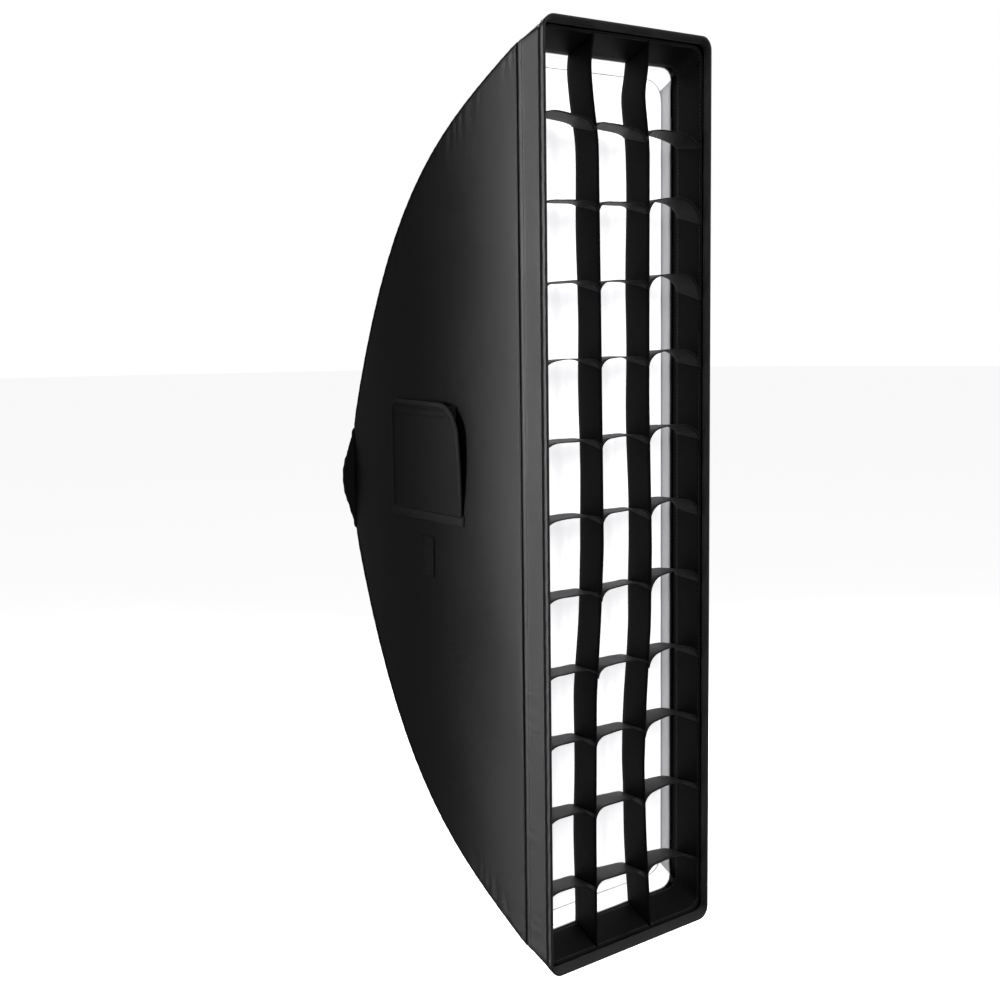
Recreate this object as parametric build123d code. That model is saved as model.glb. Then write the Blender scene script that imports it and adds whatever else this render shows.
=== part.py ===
"""Strip softbox, 300 x 1200 mm, with fabric egg-crate grid and bayonet speedring.

Units are millimetres. +Z is up along the long side, -Y is the way the light leaves and
+Y points at the flash head. The origin is the centre of the seating face of the mount
insert. A "depth" is measured backwards from the plane of the front rim.
"""

import math
import os

from build123d import *

# ---- overall sizes ---------------------------------------------------------------------
FRONT_WIDTH = 300.0  # across the front rim
FRONT_HEIGHT = 1200.0  # along the front rim
SHELL_DEPTH = 505.0  # front rim to the back edge of the four fabric panels
BACK_WIDTH = 152.0  # fabric panels at the back edge
BACK_HEIGHT = 150.0
BACK_EDGE_Y = -24.0  # the panels' back edge, in front of the seating face

# Handles of the bow that the four rods take: (share of depth, share of spread).
BOW_FRONT = (0.40, 0.79)
BOW_REAR = (0.65, 0.71)

FABRIC = 1.2  # outer fabric with its silver coating
GAP = 0.3  # between pieces that only lie against each other
SEWN = 0.05  # between a tape and what it is sewn to

# ---- front lip --------------------------------------------------------------------------
RIM_BINDING_DEPTH = 3.0
RIM_BINDING_WIDTH = 4.4
RIM_RADIUS = 25.0
LIP_DEPTH = 52.0  # rim to the seam that joins lip and panels
LIP_SEAM_RADIUS = 8.0

# ---- diffuser ---------------------------------------------------------------------------
DIFFUSER_DEPTH = 80.0  # rim to the white face
DIFFUSER_HEM = 15.0  # edge that is turned forward along the walls
DIFFUSER_SHEET = 1.0
DIFFUSER_RADIUS = 36.0  # corners that pass inside the rods
LOOP_TAPE = 1.4
HOOK_TAPE = 1.0
DIFFUSER_TAPE_MARGIN = 55.0  # tape ends before the corners

# ---- egg-crate grid ---------------------------------------------------------------------
GRID_FRONT = 12.0
GRID_DEPTH = 42.0
GRID_SHEET = 1.0
GRID_ROW_PITCH = 98.0
GRID_COLUMN_PITCH = 98.0
GRID_ROWS = 12
GRID_COLUMNS = 3
GRID_SLOT_CLEARANCE = 0.3
GRID_RADIUS = 26.0
GRID_TAPE_FRONT = 24.0  # depth at which its tapes start
GRID_TAPE_WIDTH = 20.0
GRID_TAPE_MARGIN = 50.0

# ---- rods -------------------------------------------------------------------------------
ROD_RADIUS = 2.5
ROD_TIP_DEPTH = 58.0
ROD_TIP_INSET_X = 6.5  # rod axis inside the fabric corner at the front
ROD_TIP_INSET_Z = 7.6
ROD_BACK_INSET_X = 8.5  # and at the speedring
ROD_BACK_INSET_Z = 10.5
ROD_SPANS = 12
CAP_RADIUS = 3.4
CAP_LENGTH = 9.0
POCKET_RADIUS = 4.8
POCKET_LENGTH = 22.0

# ---- corner piping ----------------------------------------------------------------------
PIPING_RADIUS = 1.2
PIPING_SPANS = 16
PIPING_STEEP_OUTSET = 2.6  # at the back, where the top and bottom walls are steepest

# ---- speedring and mount insert ---------------------------------------------------------
RING_RADIUS = 76.0
RING_BORE = 60.0
RING_FRONT_Y = -17.0
RING_BACK_Y = -1.0
INSERT_BORE = 49.0
INSERT_BODY = 59.7
INSERT_FLANGE = 66.0
FLANGE_BACK_Y = -9.0
COUNTERBORE_CLEARANCE = 0.3
NECK_RADIUS = 53.0
NECK_LENGTH = 12.0
BAYONET_RADIUS = 58.5
BAYONET_THICKNESS = 4.5
BAYONET_COUNT = 3
BAYONET_DEGREES = 40.0
RETAINER_BORE = 52.0
RETAINER_RADIUS = 72.6
RETAINER_THICKNESS = 2.5
SCREW_COUNT = 4
SCREW_CIRCLE = 69.6
SCREW_RADIUS = 1.5
SCREW_LENGTH = 10.0
SCREW_HEAD_RADIUS = 2.6
SCREW_HEAD_HEIGHT = 2.0
SOCKET_RADIUS = 5.4
SOCKET_LENGTH = 30.0
SOCKET_BORE_DEPTH = 24.0
SOCKET_CLEARANCE = 0.15
GUSSET_THICKNESS = 7.0

# ---- lock knob --------------------------------------------------------------------------
LOCK_Y = -5.0
LOCK_SCREW_RADIUS = 2.0
LOCK_CLEARANCE = 0.1
LOCK_STEM = 29.0  # radial length of the screw
KNOB_RADIUS = 9.0
KNOB_LENGTH = 13.0
KNOB_FLUTES = 8
KNOB_FLUTE_RADIUS = 1.8

# ---- rear collar ------------------------------------------------------------------------
COLLAR_BULGE_RADIUS = 87.0
COLLAR_BULGE_Y = -11.0
COLLAR_END_RADIUS = 79.0
COLLAR_END_Y = -2.2
COLLAR_CORNER = 8.0
BUTTONHOLE_RADIUS = 6.0
ELASTIC_RADIUS = 1.4

# ---- inner baffle -----------------------------------------------------------------------
BAFFLE_DEPTH = 235.0
BAFFLE_MARGIN = 24.0
BAFFLE_RADIUS = 30.0
BAFFLE_SHEET = 1.0
TAB_WIDTH = 20.0
TAB_THICKNESS = 1.6
SIDE_TAB_PITCH = 230.0

# ---- access window, its flap and the keeper strap, all on the left panel ------------------
WINDOW_FRONT = 217.0
WINDOW_BACK = 327.0
WINDOW_LOW = -4.0
WINDOW_HIGH = 102.0
WINDOW_RADIUS = 14.0
FLAP_FRONT = 182.0
FLAP_BACK = 360.0
FLAP_HINGE_Z = -22.0
FLAP_TOP_Z = 128.0
FLAP_RADIUS = 18.0
FLAP_SHEET = 1.0
FLAP_TAPE = 0.6
FLAP_TAPE_WIDTH = 16.0
FLAP_TAPE_MARGIN = 12.0
HEM_WIDTH = 12.0
HEM_OVERHANG = 4.0
HEM_SHEET = 1.5
STRAP_FRONT = 252.0
STRAP_BACK = 284.0
STRAP_LOW = -112.0
STRAP_HIGH = -57.0
STRAP_SHEET = 1.6

DEPTH_TO_SEAT = SHELL_DEPTH - BACK_EDGE_Y


# ---- the bow: one curve gives every wall and rod ------------------------------------------
def y_at(depth):
    return depth - DEPTH_TO_SEAT


BOW = [
    (0.0, 1.0),
    BOW_FRONT,
    BOW_REAR,
    (1.0, 0.0),
]


def bow_point(t):
    """Depth and spread (1 at the rim, 0 at the back edge) at curve parameter t."""
    weights = ((1 - t) ** 3, 3 * (1 - t) ** 2 * t, 3 * (1 - t) * t * t, t**3)
    depth = SHELL_DEPTH * sum(w * p[0] for w, p in zip(weights, BOW))
    spread = sum(w * p[1] for w, p in zip(weights, BOW))
    return depth, spread


def bow_parameter(depth):
    low, high = 0.0, 1.0
    for _ in range(60):
        middle = (low + high) / 2
        if bow_point(middle)[0] < depth:
            low = middle
        else:
            high = middle
    return (low + high) / 2


def spread_at(depth):
    """The lip is straight from rim to seam, and the panels follow the bow behind it."""
    if depth >= LIP_DEPTH:
        return bow_point(bow_parameter(depth))[1]
    at_seam = bow_point(bow_parameter(LIP_DEPTH))[1]
    return 1.0 + (at_seam - 1.0) * depth / LIP_DEPTH


def blend(back, front, spread):
    return back + (front - back) * spread


def half_width(depth):
    return blend(BACK_WIDTH / 2, FRONT_WIDTH / 2, spread_at(depth))


def half_height(depth):
    return blend(BACK_HEIGHT / 2, FRONT_HEIGHT / 2, spread_at(depth))


def split_bow(start_depth, end_depth):
    """Control points (depth, spread) of the stretch of the bow between two depths."""

    def interpolate(p, q, t):
        return (p[0] + (q[0] - p[0]) * t, p[1] + (q[1] - p[1]) * t)

    def halves(points, t):
        first, last, row = [points[0]], [points[-1]], points
        while len(row) > 1:
            row = [interpolate(p, q, t) for p, q in zip(row, row[1:])]
            first.append(row[0])
            last.append(row[-1])
        return first, last[::-1]

    t_start, t_end = bow_parameter(start_depth), bow_parameter(end_depth)
    front_part, _ = halves(BOW, t_end)
    _, stretch = halves(front_part, t_start / t_end)
    return [(depth * SHELL_DEPTH, spread) for depth, spread in stretch]


def wall_points(back_half, front_half, start_depth, end_depth, inset):
    """Bezier points (y, half size) of a wall line that lies `inset` inside the outer face."""
    points = [
        Vector(y_at(depth), blend(back_half, front_half, spread))
        for depth, spread in split_bow(start_depth, end_depth)
    ]
    moved = []
    for point, (p, q) in zip(points, ((0, 1), (0, 1), (2, 3), (2, 3))):
        along = (points[q] - points[p]).normalized()
        moved.append(point + Vector(along.Y, -along.X) * inset)
    return moved


def side_points(start_depth, end_depth, inset):
    return wall_points(BACK_WIDTH / 2, FRONT_WIDTH / 2, start_depth, end_depth, inset)


def top_points(start_depth, end_depth, inset):
    return wall_points(BACK_HEIGHT / 2, FRONT_HEIGHT / 2, start_depth, end_depth, inset)


def closed_face(first, second):
    """Face between two Bezier curves that run the same way, in a plane whose x is Y."""
    a = Bezier(*first)
    b = Bezier(*second)
    return make_face([a, Line(a @ 1, b @ 1), b, Line(b @ 0, a @ 0)])


def mirrored(points):
    return [Vector(p.X, -p.Y) for p in points]


# Local x is +Y in both planes; local y is +X or +Z, and the sheet is extruded across.
SIDE_PLANE = Plane(origin=(0, 0, 0), x_dir=(0, 1, 0), z_dir=(0, 0, -1))
TOP_PLANE = Plane(origin=(0, 0, 0), x_dir=(0, 1, 0), z_dir=(1, 0, 0))
LONG = FRONT_HEIGHT


def side_sheet(start_depth, end_depth, inset, thickness):
    """Sheet on the right wall, as tall as the box."""
    outer = side_points(start_depth, end_depth, inset)
    inner = side_points(start_depth, end_depth, inset + thickness)
    return extrude(SIDE_PLANE * closed_face(outer, inner), amount=LONG, both=True)


def top_sheet(start_depth, end_depth, inset, thickness):
    """Sheet on the top wall, wider than the box."""
    outer = top_points(start_depth, end_depth, inset)
    inner = top_points(start_depth, end_depth, inset + thickness)
    return extrude(TOP_PLANE * closed_face(outer, inner), amount=FRONT_WIDTH, both=True)


def height_region(start_depth, end_depth, inset):
    """All that lies between the top and bottom walls."""
    upper = top_points(start_depth, end_depth, inset)
    face = closed_face(upper, mirrored(upper))
    return extrude(TOP_PLANE * face, amount=FRONT_WIDTH, both=True)


def width_region(start_depth, end_depth, inset):
    """All that lies between the side walls."""
    right = side_points(start_depth, end_depth, inset)
    face = closed_face(right, mirrored(right))
    return extrude(SIDE_PLANE * face, amount=LONG, both=True)


def to_left(shape):
    return mirror(shape, about=Plane.YZ)


def to_bottom(shape):
    return mirror(shape, about=Plane.XY)


def y_span(y_low, y_high, half_x, half_z, x=0.0, z=0.0):
    size = (2 * half_x, y_high - y_low, 2 * half_z)
    return Pos(x, (y_low + y_high) / 2, z) * Box(*size)


def side_patch(depth_front, depth_back, z_low, z_high, radius=0.0):
    """Block through a side wall, seen as a rounded rectangle from the side."""
    width, height = depth_back - depth_front, z_high - z_low
    outline = RectangleRounded(width, height, radius) if radius else Rectangle(width, height)
    centre = ((y_at(depth_front) + y_at(depth_back)) / 2, (z_low + z_high) / 2)
    face = TOP_PLANE * Pos(*centre) * outline
    return extrude(face, amount=-FRONT_WIDTH)


def slant(half, depth):
    """How much longer an inset is across the box than square to a wall that slopes."""
    step = 1.0
    return math.hypot(1.0, (half(depth + step) - half(depth)) / step)


def section(depth, inset, radius):
    """Rounded rectangle across the box at a depth, `inset` inside its outer face."""
    plane = Plane(origin=(0, y_at(depth), 0), x_dir=(1, 0, 0), z_dir=(0, 1, 0))
    width = 2 * (half_width(depth) - inset * slant(half_width, depth))
    height = 2 * (half_height(depth) - inset * slant(half_height, depth))
    return plane * RectangleRounded(width, height, radius)


def plug(depth_front, depth_back, inset, radius_front, radius_back):
    sections = [section(depth_front, inset, radius_front), section(depth_back, inset, radius_back)]
    return loft(sections, ruled=True)


def wall_band(depth_front, depth_back, inset, thickness, radius_front, radius_back=None):
    """Closed band that lies along the walls."""
    radius_back = radius_front if radius_back is None else radius_back
    outer = plug(depth_front, depth_back, inset, radius_front, radius_back)
    inner_radii = (radius_front - thickness, radius_back - thickness)
    return outer - plug(depth_front, depth_back, inset + thickness, *inner_radii)


def straight_strip(half, depth_front, depth_back, inset, thickness):
    """Cross-section of a flat tape on a wall whose half size at a depth is half(depth)."""
    front = Vector(y_at(depth_front), half(depth_front))
    back = Vector(y_at(depth_back), half(depth_back))
    along = (back - front).normalized()
    inward = Vector(along.Y, -along.X)
    near, far = inward * inset, inward * (inset + thickness)
    return make_face(Polyline(front + near, back + near, back + far, front + far, close=True))


def tape_frame(depth_front, depth_back, inset, thickness, margin):
    """Four straight tapes, one on each wall, that end before the corners."""
    half_z = half_height(depth_back) - margin
    half_x = half_width(depth_back) - margin
    side = straight_strip(half_width, depth_front, depth_back, inset, thickness)
    top = straight_strip(half_height, depth_front, depth_back, inset, thickness)
    right = extrude(SIDE_PLANE * side, amount=half_z, both=True)
    upper = extrude(TOP_PLANE * top, amount=half_x, both=True)
    return Compound(children=[right, to_left(right), upper, to_bottom(upper)])


# ---- curved members in the corners ---------------------------------------------------------
def corner_point(t, front_inset, back_inset):
    """Point on a member in the upper right corner; insets are (x, z) from the outer face."""
    depth, spread = bow_point(t)
    x = blend(BACK_WIDTH / 2 - back_inset[0], FRONT_WIDTH / 2 - front_inset[0], spread)
    z = blend(BACK_HEIGHT / 2 - back_inset[1], FRONT_HEIGHT / 2 - front_inset[1], spread)
    return Vector(x, y_at(depth), z)


def corner_route(depth_front, spans, front_inset, back_inset):
    t_front = bow_parameter(depth_front)
    steps = [t_front + (1 - t_front) * i / spans for i in range(spans + 1)]
    return [corner_point(t, front_inset, back_inset) for t in steps]


def smooth_path(points):
    """Straight runs joined by tangent arcs as large as the runs allow."""
    radii = []
    for before, here, after in zip(points, points[1:], points[2:]):
        shorter = min((here - before).length, (after - here).length)
        turn = math.radians((here - before).get_angle(after - here))
        radii.append(0.45 * shorter / math.tan(turn / 2))
    return FilletPolyline(*points, radius=radii)


def round_member(path, radius):
    start = Plane(origin=path @ 0, z_dir=path % 0)
    return sweep(start * Circle(radius), path=path)


def rod_back_direction():
    """Unit vector along which the upper right rod enters its socket."""
    step = 0.001
    insets = ((ROD_TIP_INSET_X, ROD_TIP_INSET_Z), (ROD_BACK_INSET_X, ROD_BACK_INSET_Z))
    return (corner_point(1, *insets) - corner_point(1 - step, *insets)).normalized()


def rod_route():
    insets = ((ROD_TIP_INSET_X, ROD_TIP_INSET_Z), (ROD_BACK_INSET_X, ROD_BACK_INSET_Z))
    route = corner_route(ROD_TIP_DEPTH, ROD_SPANS, *insets)
    seated = SOCKET_BORE_DEPTH - 2 * GAP
    return route + [route[-1] + rod_back_direction() * seated]


ROD_ROUTE = rod_route()
ROD_MOUTH = corner_point(
    1,
    (ROD_TIP_INSET_X, ROD_TIP_INSET_Z),
    (ROD_BACK_INSET_X, ROD_BACK_INSET_Z),
)
ROD_TIP_DIRECTION = (ROD_ROUTE[0] - ROD_ROUTE[1]).normalized()


def along(origin, direction, length, radius):
    """Cylinder that starts at origin and runs along direction."""
    return extrude(Plane(origin=origin, z_dir=direction) * Circle(radius), amount=length)


def make_rod():
    return round_member(smooth_path(ROD_ROUTE), ROD_RADIUS)


def make_rod_cap():
    """Moulded cap on the rod's tip, blind at its front."""
    start = ROD_ROUTE[0] - ROD_TIP_DIRECTION * (CAP_LENGTH - 2.0)
    body = along(start, ROD_TIP_DIRECTION, CAP_LENGTH, CAP_RADIUS)
    hole = along(start, ROD_TIP_DIRECTION, CAP_LENGTH - 2.0 + GAP, ROD_RADIUS + LOCK_CLEARANCE)
    return body - hole


def make_pocket():
    """Sewn pocket that holds the capped tip, closed at the front and open at the back."""
    front = ROD_ROUTE[0] + ROD_TIP_DIRECTION * (2.0 + GAP + FABRIC)
    back_way = ROD_TIP_DIRECTION * -1
    body = along(front, back_way, POCKET_LENGTH, POCKET_RADIUS)
    inside = along(front + back_way * FABRIC, back_way, POCKET_LENGTH, CAP_RADIUS + GAP)
    return body - inside


def make_piping():
    """Round piping that covers the seam between two panels, outside the corner."""
    stand_off = 0.9 * PIPING_RADIUS + SEWN
    outset = (-stand_off, -stand_off)
    rear_outset = (-stand_off, -PIPING_STEEP_OUTSET * stand_off)
    points = corner_route(LIP_DEPTH + GAP, PIPING_SPANS, outset, rear_outset)
    return round_member(smooth_path(points), PIPING_RADIUS)


# ---- fabric shell ----------------------------------------------------------------------------
PANEL_FRONT = LIP_DEPTH + GAP


def make_side_panel():
    sheet = side_sheet(PANEL_FRONT, SHELL_DEPTH, 0.0, FABRIC)
    return sheet & height_region(PANEL_FRONT, SHELL_DEPTH, FABRIC + GAP)


def make_left_panel():
    window = side_patch(WINDOW_FRONT, WINDOW_BACK, WINDOW_LOW, WINDOW_HIGH, WINDOW_RADIUS)
    return to_left(make_side_panel()) - window


def make_top_panel():
    sheet = top_sheet(PANEL_FRONT, SHELL_DEPTH, 0.0, FABRIC)
    return sheet & width_region(PANEL_FRONT, SHELL_DEPTH, 0.0)


def make_lip():
    return wall_band(RIM_BINDING_DEPTH, LIP_DEPTH, 0.0, FABRIC, RIM_RADIUS, LIP_SEAM_RADIUS)


def make_rim_binding():
    plane = Plane(origin=(0, y_at(0), 0), x_dir=(1, 0, 0), z_dir=(0, -1, 0))
    outer = RectangleRounded(FRONT_WIDTH, FRONT_HEIGHT, RIM_RADIUS)
    inner = RectangleRounded(
        FRONT_WIDTH - 2 * RIM_BINDING_WIDTH,
        FRONT_HEIGHT - 2 * RIM_BINDING_WIDTH,
        RIM_RADIUS - RIM_BINDING_WIDTH,
    )
    return extrude(plane * (outer - inner), amount=-RIM_BINDING_DEPTH)


# ---- rear collar -----------------------------------------------------------------------------
def collar_plug(inset):
    """Square at the panels, round over the rod sockets, drawn in behind the speedring."""

    def rounded(y, half, corner):
        plane = Plane(origin=(0, y, 0), x_dir=(1, 0, 0), z_dir=(0, 1, 0))
        return plane * RectangleRounded(2 * half, 2 * half, corner)

    square = rounded(BACK_EDGE_Y + GAP, BACK_WIDTH / 2 - inset, COLLAR_CORNER - inset)
    bulge_half = COLLAR_BULGE_RADIUS - inset
    bulge = rounded(COLLAR_BULGE_Y, bulge_half, bulge_half - SEWN)
    end_half = COLLAR_END_RADIUS - inset
    end = rounded(COLLAR_END_Y, end_half, end_half - SEWN)
    return loft([square, bulge], ruled=True) + loft([bulge, end], ruled=True)


def make_collar():
    shell = collar_plug(0.0) - collar_plug(FABRIC)
    buttonhole = along(Vector(RING_RADIUS, LOCK_Y, 0), Vector(1, 0, 0), FRONT_WIDTH, BUTTONHOLE_RADIUS)
    return shell - buttonhole


def make_collar_elastic():
    centre_y = COLLAR_END_Y + ELASTIC_RADIUS + SEWN
    radius = COLLAR_END_RADIUS - FABRIC / 2
    ring = Torus(radius, ELASTIC_RADIUS)
    return Pos(0, centre_y, 0) * Rot(90, 0, 0) * ring


# ---- speedring and insert ------------------------------------------------------------------------
def disc(y_low, y_high, radius):
    return along(Vector(0, y_low, 0), Vector(0, 1, 0), y_high - y_low, radius)


def on_circle(radius, angle, y=0.0):
    return Vector(radius * math.cos(angle), y, radius * math.sin(angle))


def socket_parts():
    """Socket tube for the upper right rod, with its gusset, and the hole in the tube."""
    inward = rod_back_direction()
    tube = along(ROD_MOUTH, inward, SOCKET_LENGTH, SOCKET_RADIUS)
    hole = along(
        ROD_MOUTH - inward * GAP,
        inward,
        SOCKET_BORE_DEPTH + GAP,
        ROD_RADIUS + SOCKET_CLEARANCE,
    )
    root_radius = (RING_BORE + RING_RADIUS) / 2 + 2.0
    low, high = on_circle(root_radius, math.radians(12)), on_circle(root_radius, math.radians(58))
    outer = ROD_MOUTH + inward * (SOCKET_LENGTH / 2)
    corners = [(low.X, low.Z), (outer.X, outer.Z), (high.X, high.Z)]
    plane = Plane(origin=(0, RING_FRONT_Y, 0), x_dir=(1, 0, 0), z_dir=(0, -1, 0))
    face = plane * make_face(Polyline(*corners, close=True))
    gusset = extrude(face, amount=-GUSSET_THICKNESS)
    return tube + gusset, hole


def four_ways(shape):
    """The shape in all four corners, seen from the upper right one."""
    return [shape, to_left(shape), to_bottom(shape), Rot(0, 180, 0) * shape]


def screw_places():
    return [on_circle(SCREW_CIRCLE, math.radians(90 * i)) for i in range(SCREW_COUNT)]


def make_speedring():
    body = disc(RING_FRONT_Y, RING_BACK_Y, RING_RADIUS)
    socket, hole = socket_parts()
    for piece in four_ways(socket):
        body += piece
    for piece in four_ways(hole):
        body -= piece
    body -= disc(RING_FRONT_Y - 1, RING_BACK_Y + 1, RING_BORE)
    shoulder_y = FLANGE_BACK_Y + COUNTERBORE_CLEARANCE
    body -= disc(RING_FRONT_Y - 20, shoulder_y, INSERT_FLANGE + COUNTERBORE_CLEARANCE)
    retainer_front = RING_FRONT_Y - RETAINER_THICKNESS - GAP
    body -= disc(retainer_front, RING_FRONT_Y, RETAINER_RADIUS + GAP)
    for place in screw_places():
        start = Vector(place.X, RING_FRONT_Y, place.Z)
        body -= along(start, Vector(0, 1, 0), SCREW_LENGTH, SCREW_RADIUS + LOCK_CLEARANCE)
    lock_start = Vector(RING_BORE - 2, LOCK_Y, 0)
    body -= along(lock_start, Vector(1, 0, 0), 30.0, LOCK_SCREW_RADIUS + LOCK_CLEARANCE)
    return body


def make_insert():
    body = disc(RING_FRONT_Y + GAP, FLANGE_BACK_Y, INSERT_FLANGE)
    body += disc(FLANGE_BACK_Y, 0, INSERT_BODY)
    body += disc(0, NECK_LENGTH, NECK_RADIUS)
    lug_zone = disc(NECK_LENGTH - BAYONET_THICKNESS, NECK_LENGTH, BAYONET_RADIUS)
    reach = 2 * BAYONET_RADIUS
    half = math.radians(BAYONET_DEGREES / 2)
    for i in range(BAYONET_COUNT):
        middle = math.radians(90 + 360 / BAYONET_COUNT * i)
        first, last = on_circle(reach, middle - half), on_circle(reach, middle + half)
        wedge = make_face(Polyline((0, 0), (first.X, first.Z), (last.X, last.Z), close=True))
        plane = Plane(origin=(0, -1, 0), x_dir=(1, 0, 0), z_dir=(0, -1, 0))
        body += lug_zone & extrude(plane * wedge, amount=-2 * NECK_LENGTH)
    return body - disc(RING_FRONT_Y - 1, NECK_LENGTH + 1, INSERT_BORE)


def make_retainer():
    front = RING_FRONT_Y - RETAINER_THICKNESS
    plate = disc(front, RING_FRONT_Y, RETAINER_RADIUS) - disc(front, RING_FRONT_Y, RETAINER_BORE)
    for place in screw_places():
        start = Vector(place.X, front, place.Z)
        plate -= along(start, Vector(0, 1, 0), RETAINER_THICKNESS, SCREW_RADIUS + LOCK_CLEARANCE)
    return plate


def make_retaining_screws():
    front = RING_FRONT_Y - RETAINER_THICKNESS
    screws = []
    for place in screw_places():
        head_start = Vector(place.X, front - SCREW_HEAD_HEIGHT, place.Z)
        head = along(head_start, Vector(0, 1, 0), SCREW_HEAD_HEIGHT, SCREW_HEAD_RADIUS)
        shaft = along(head_start, Vector(0, 1, 0), SCREW_HEAD_HEIGHT + SCREW_LENGTH, SCREW_RADIUS)
        recess = along(head_start, Vector(0, 1, 0), SCREW_HEAD_HEIGHT / 2, SCREW_RADIUS * 0.8)
        screws.append(head + shaft - recess)
    return Compound(children=screws)


# ---- lock knob -------------------------------------------------------------------------------
LOCK_TIP = INSERT_BODY + GAP
KNOB_START = LOCK_TIP + LOCK_STEM


def make_lock_screw():
    stem_end = KNOB_START + KNOB_LENGTH / 2
    stem_start = Vector(LOCK_TIP, LOCK_Y, 0)
    return along(stem_start, Vector(1, 0, 0), stem_end - LOCK_TIP, LOCK_SCREW_RADIUS)


def make_lock_knob():
    start = Vector(KNOB_START, LOCK_Y, 0)
    knob = along(start, Vector(1, 0, 0), KNOB_LENGTH, KNOB_RADIUS)
    knob = chamfer(knob.edges().filter_by(GeomType.CIRCLE), KNOB_RADIUS * 0.1)
    for i in range(KNOB_FLUTES):
        angle = math.radians(360 / KNOB_FLUTES * i)
        flute = start + Vector(0, KNOB_RADIUS * math.cos(angle), KNOB_RADIUS * math.sin(angle))
        knob -= along(flute, Vector(1, 0, 0), KNOB_LENGTH, KNOB_FLUTE_RADIUS)
    return knob - along(start, Vector(1, 0, 0), KNOB_LENGTH / 2 + GAP, LOCK_SCREW_RADIUS)


# ---- diffuser and its tapes --------------------------------------------------------------------
LOOP_INSET = FABRIC + SEWN
HOOK_INSET = LOOP_INSET + LOOP_TAPE + GAP
SOFT_INSET = HOOK_INSET + HOOK_TAPE + SEWN
DIFFUSER_FRONT = DIFFUSER_DEPTH - DIFFUSER_HEM


def make_diffuser():
    """White face with its edge turned forward, as a shallow pan."""
    back = DIFFUSER_DEPTH + DIFFUSER_SHEET
    pan = plug(DIFFUSER_FRONT, back, SOFT_INSET, DIFFUSER_RADIUS, DIFFUSER_RADIUS)
    inner_radius = DIFFUSER_RADIUS - DIFFUSER_SHEET
    inset = SOFT_INSET + DIFFUSER_SHEET
    return pan - plug(DIFFUSER_FRONT, DIFFUSER_DEPTH, inset, inner_radius, inner_radius)


def make_diffuser_loop_tape():
    return tape_frame(DIFFUSER_FRONT, DIFFUSER_DEPTH, LOOP_INSET, LOOP_TAPE, DIFFUSER_TAPE_MARGIN)


def make_diffuser_hook_tape():
    return tape_frame(DIFFUSER_FRONT, DIFFUSER_DEPTH, HOOK_INSET, HOOK_TAPE, DIFFUSER_TAPE_MARGIN)


# ---- grid ----------------------------------------------------------------------------------------
GRID_BACK = GRID_FRONT + GRID_DEPTH
GRID_MIDDLE = (GRID_FRONT + GRID_BACK) / 2
GRID_TAPE_BACK = GRID_TAPE_FRONT + GRID_TAPE_WIDTH


def make_grid_band():
    return wall_band(GRID_FRONT, GRID_BACK, SOFT_INSET, GRID_SHEET, GRID_RADIUS)


def make_grid_loop_tape():
    return tape_frame(GRID_TAPE_FRONT, GRID_TAPE_BACK, LOOP_INSET, LOOP_TAPE, GRID_TAPE_MARGIN)


def make_grid_hook_tape():
    return tape_frame(GRID_TAPE_FRONT, GRID_TAPE_BACK, HOOK_INSET, HOOK_TAPE, GRID_TAPE_MARGIN)


def grid_room():
    inset = SOFT_INSET + GRID_SHEET + SEWN
    radius = GRID_RADIUS - GRID_SHEET
    return plug(GRID_FRONT, GRID_BACK, inset, radius, radius)


def row_heights():
    """Heights of the level strips, from the top down."""
    return [GRID_ROW_PITCH * (GRID_ROWS / 2 - i) for i in range(1, GRID_ROWS)]


def column_places():
    return [GRID_COLUMN_PITCH * (i - GRID_COLUMNS / 2) for i in range(1, GRID_COLUMNS)]


SLOT_HALF = GRID_SHEET / 2 + GRID_SLOT_CLEARANCE
SLOT_OVERLAP = GAP / 2


def make_grid_vertical(x):
    """Upright strip, slotted from behind where the level strips cross it."""
    strip = y_span(y_at(GRID_FRONT), y_at(GRID_BACK), GRID_SHEET / 2, LONG, x=x) & grid_room()
    slot_low = y_at(GRID_MIDDLE) - SLOT_OVERLAP
    for z in row_heights():
        strip -= y_span(slot_low, y_at(GRID_BACK) + 1, GRID_SHEET, SLOT_HALF, x=x, z=z)
    return strip


def make_grid_horizontal(z):
    """Level strip, slotted from the front where the upright strips cross it."""
    strip = y_span(y_at(GRID_FRONT), y_at(GRID_BACK), FRONT_WIDTH, GRID_SHEET / 2, z=z) & grid_room()
    slot_high = y_at(GRID_MIDDLE) + SLOT_OVERLAP
    for x in column_places():
        strip -= y_span(y_at(GRID_FRONT) - 1, slot_high, SLOT_HALF, GRID_SHEET, x=x, z=z)
    return strip


# ---- inner baffle ----------------------------------------------------------------------------------
def make_baffle():
    plane = Plane(origin=(0, y_at(BAFFLE_DEPTH), 0), x_dir=(1, 0, 0), z_dir=(0, -1, 0))
    width = 2 * (half_width(BAFFLE_DEPTH) - BAFFLE_MARGIN)
    height = 2 * (half_height(BAFFLE_DEPTH) - BAFFLE_MARGIN)
    return extrude(plane * RectangleRounded(width, height, BAFFLE_RADIUS), amount=-BAFFLE_SHEET)


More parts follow.
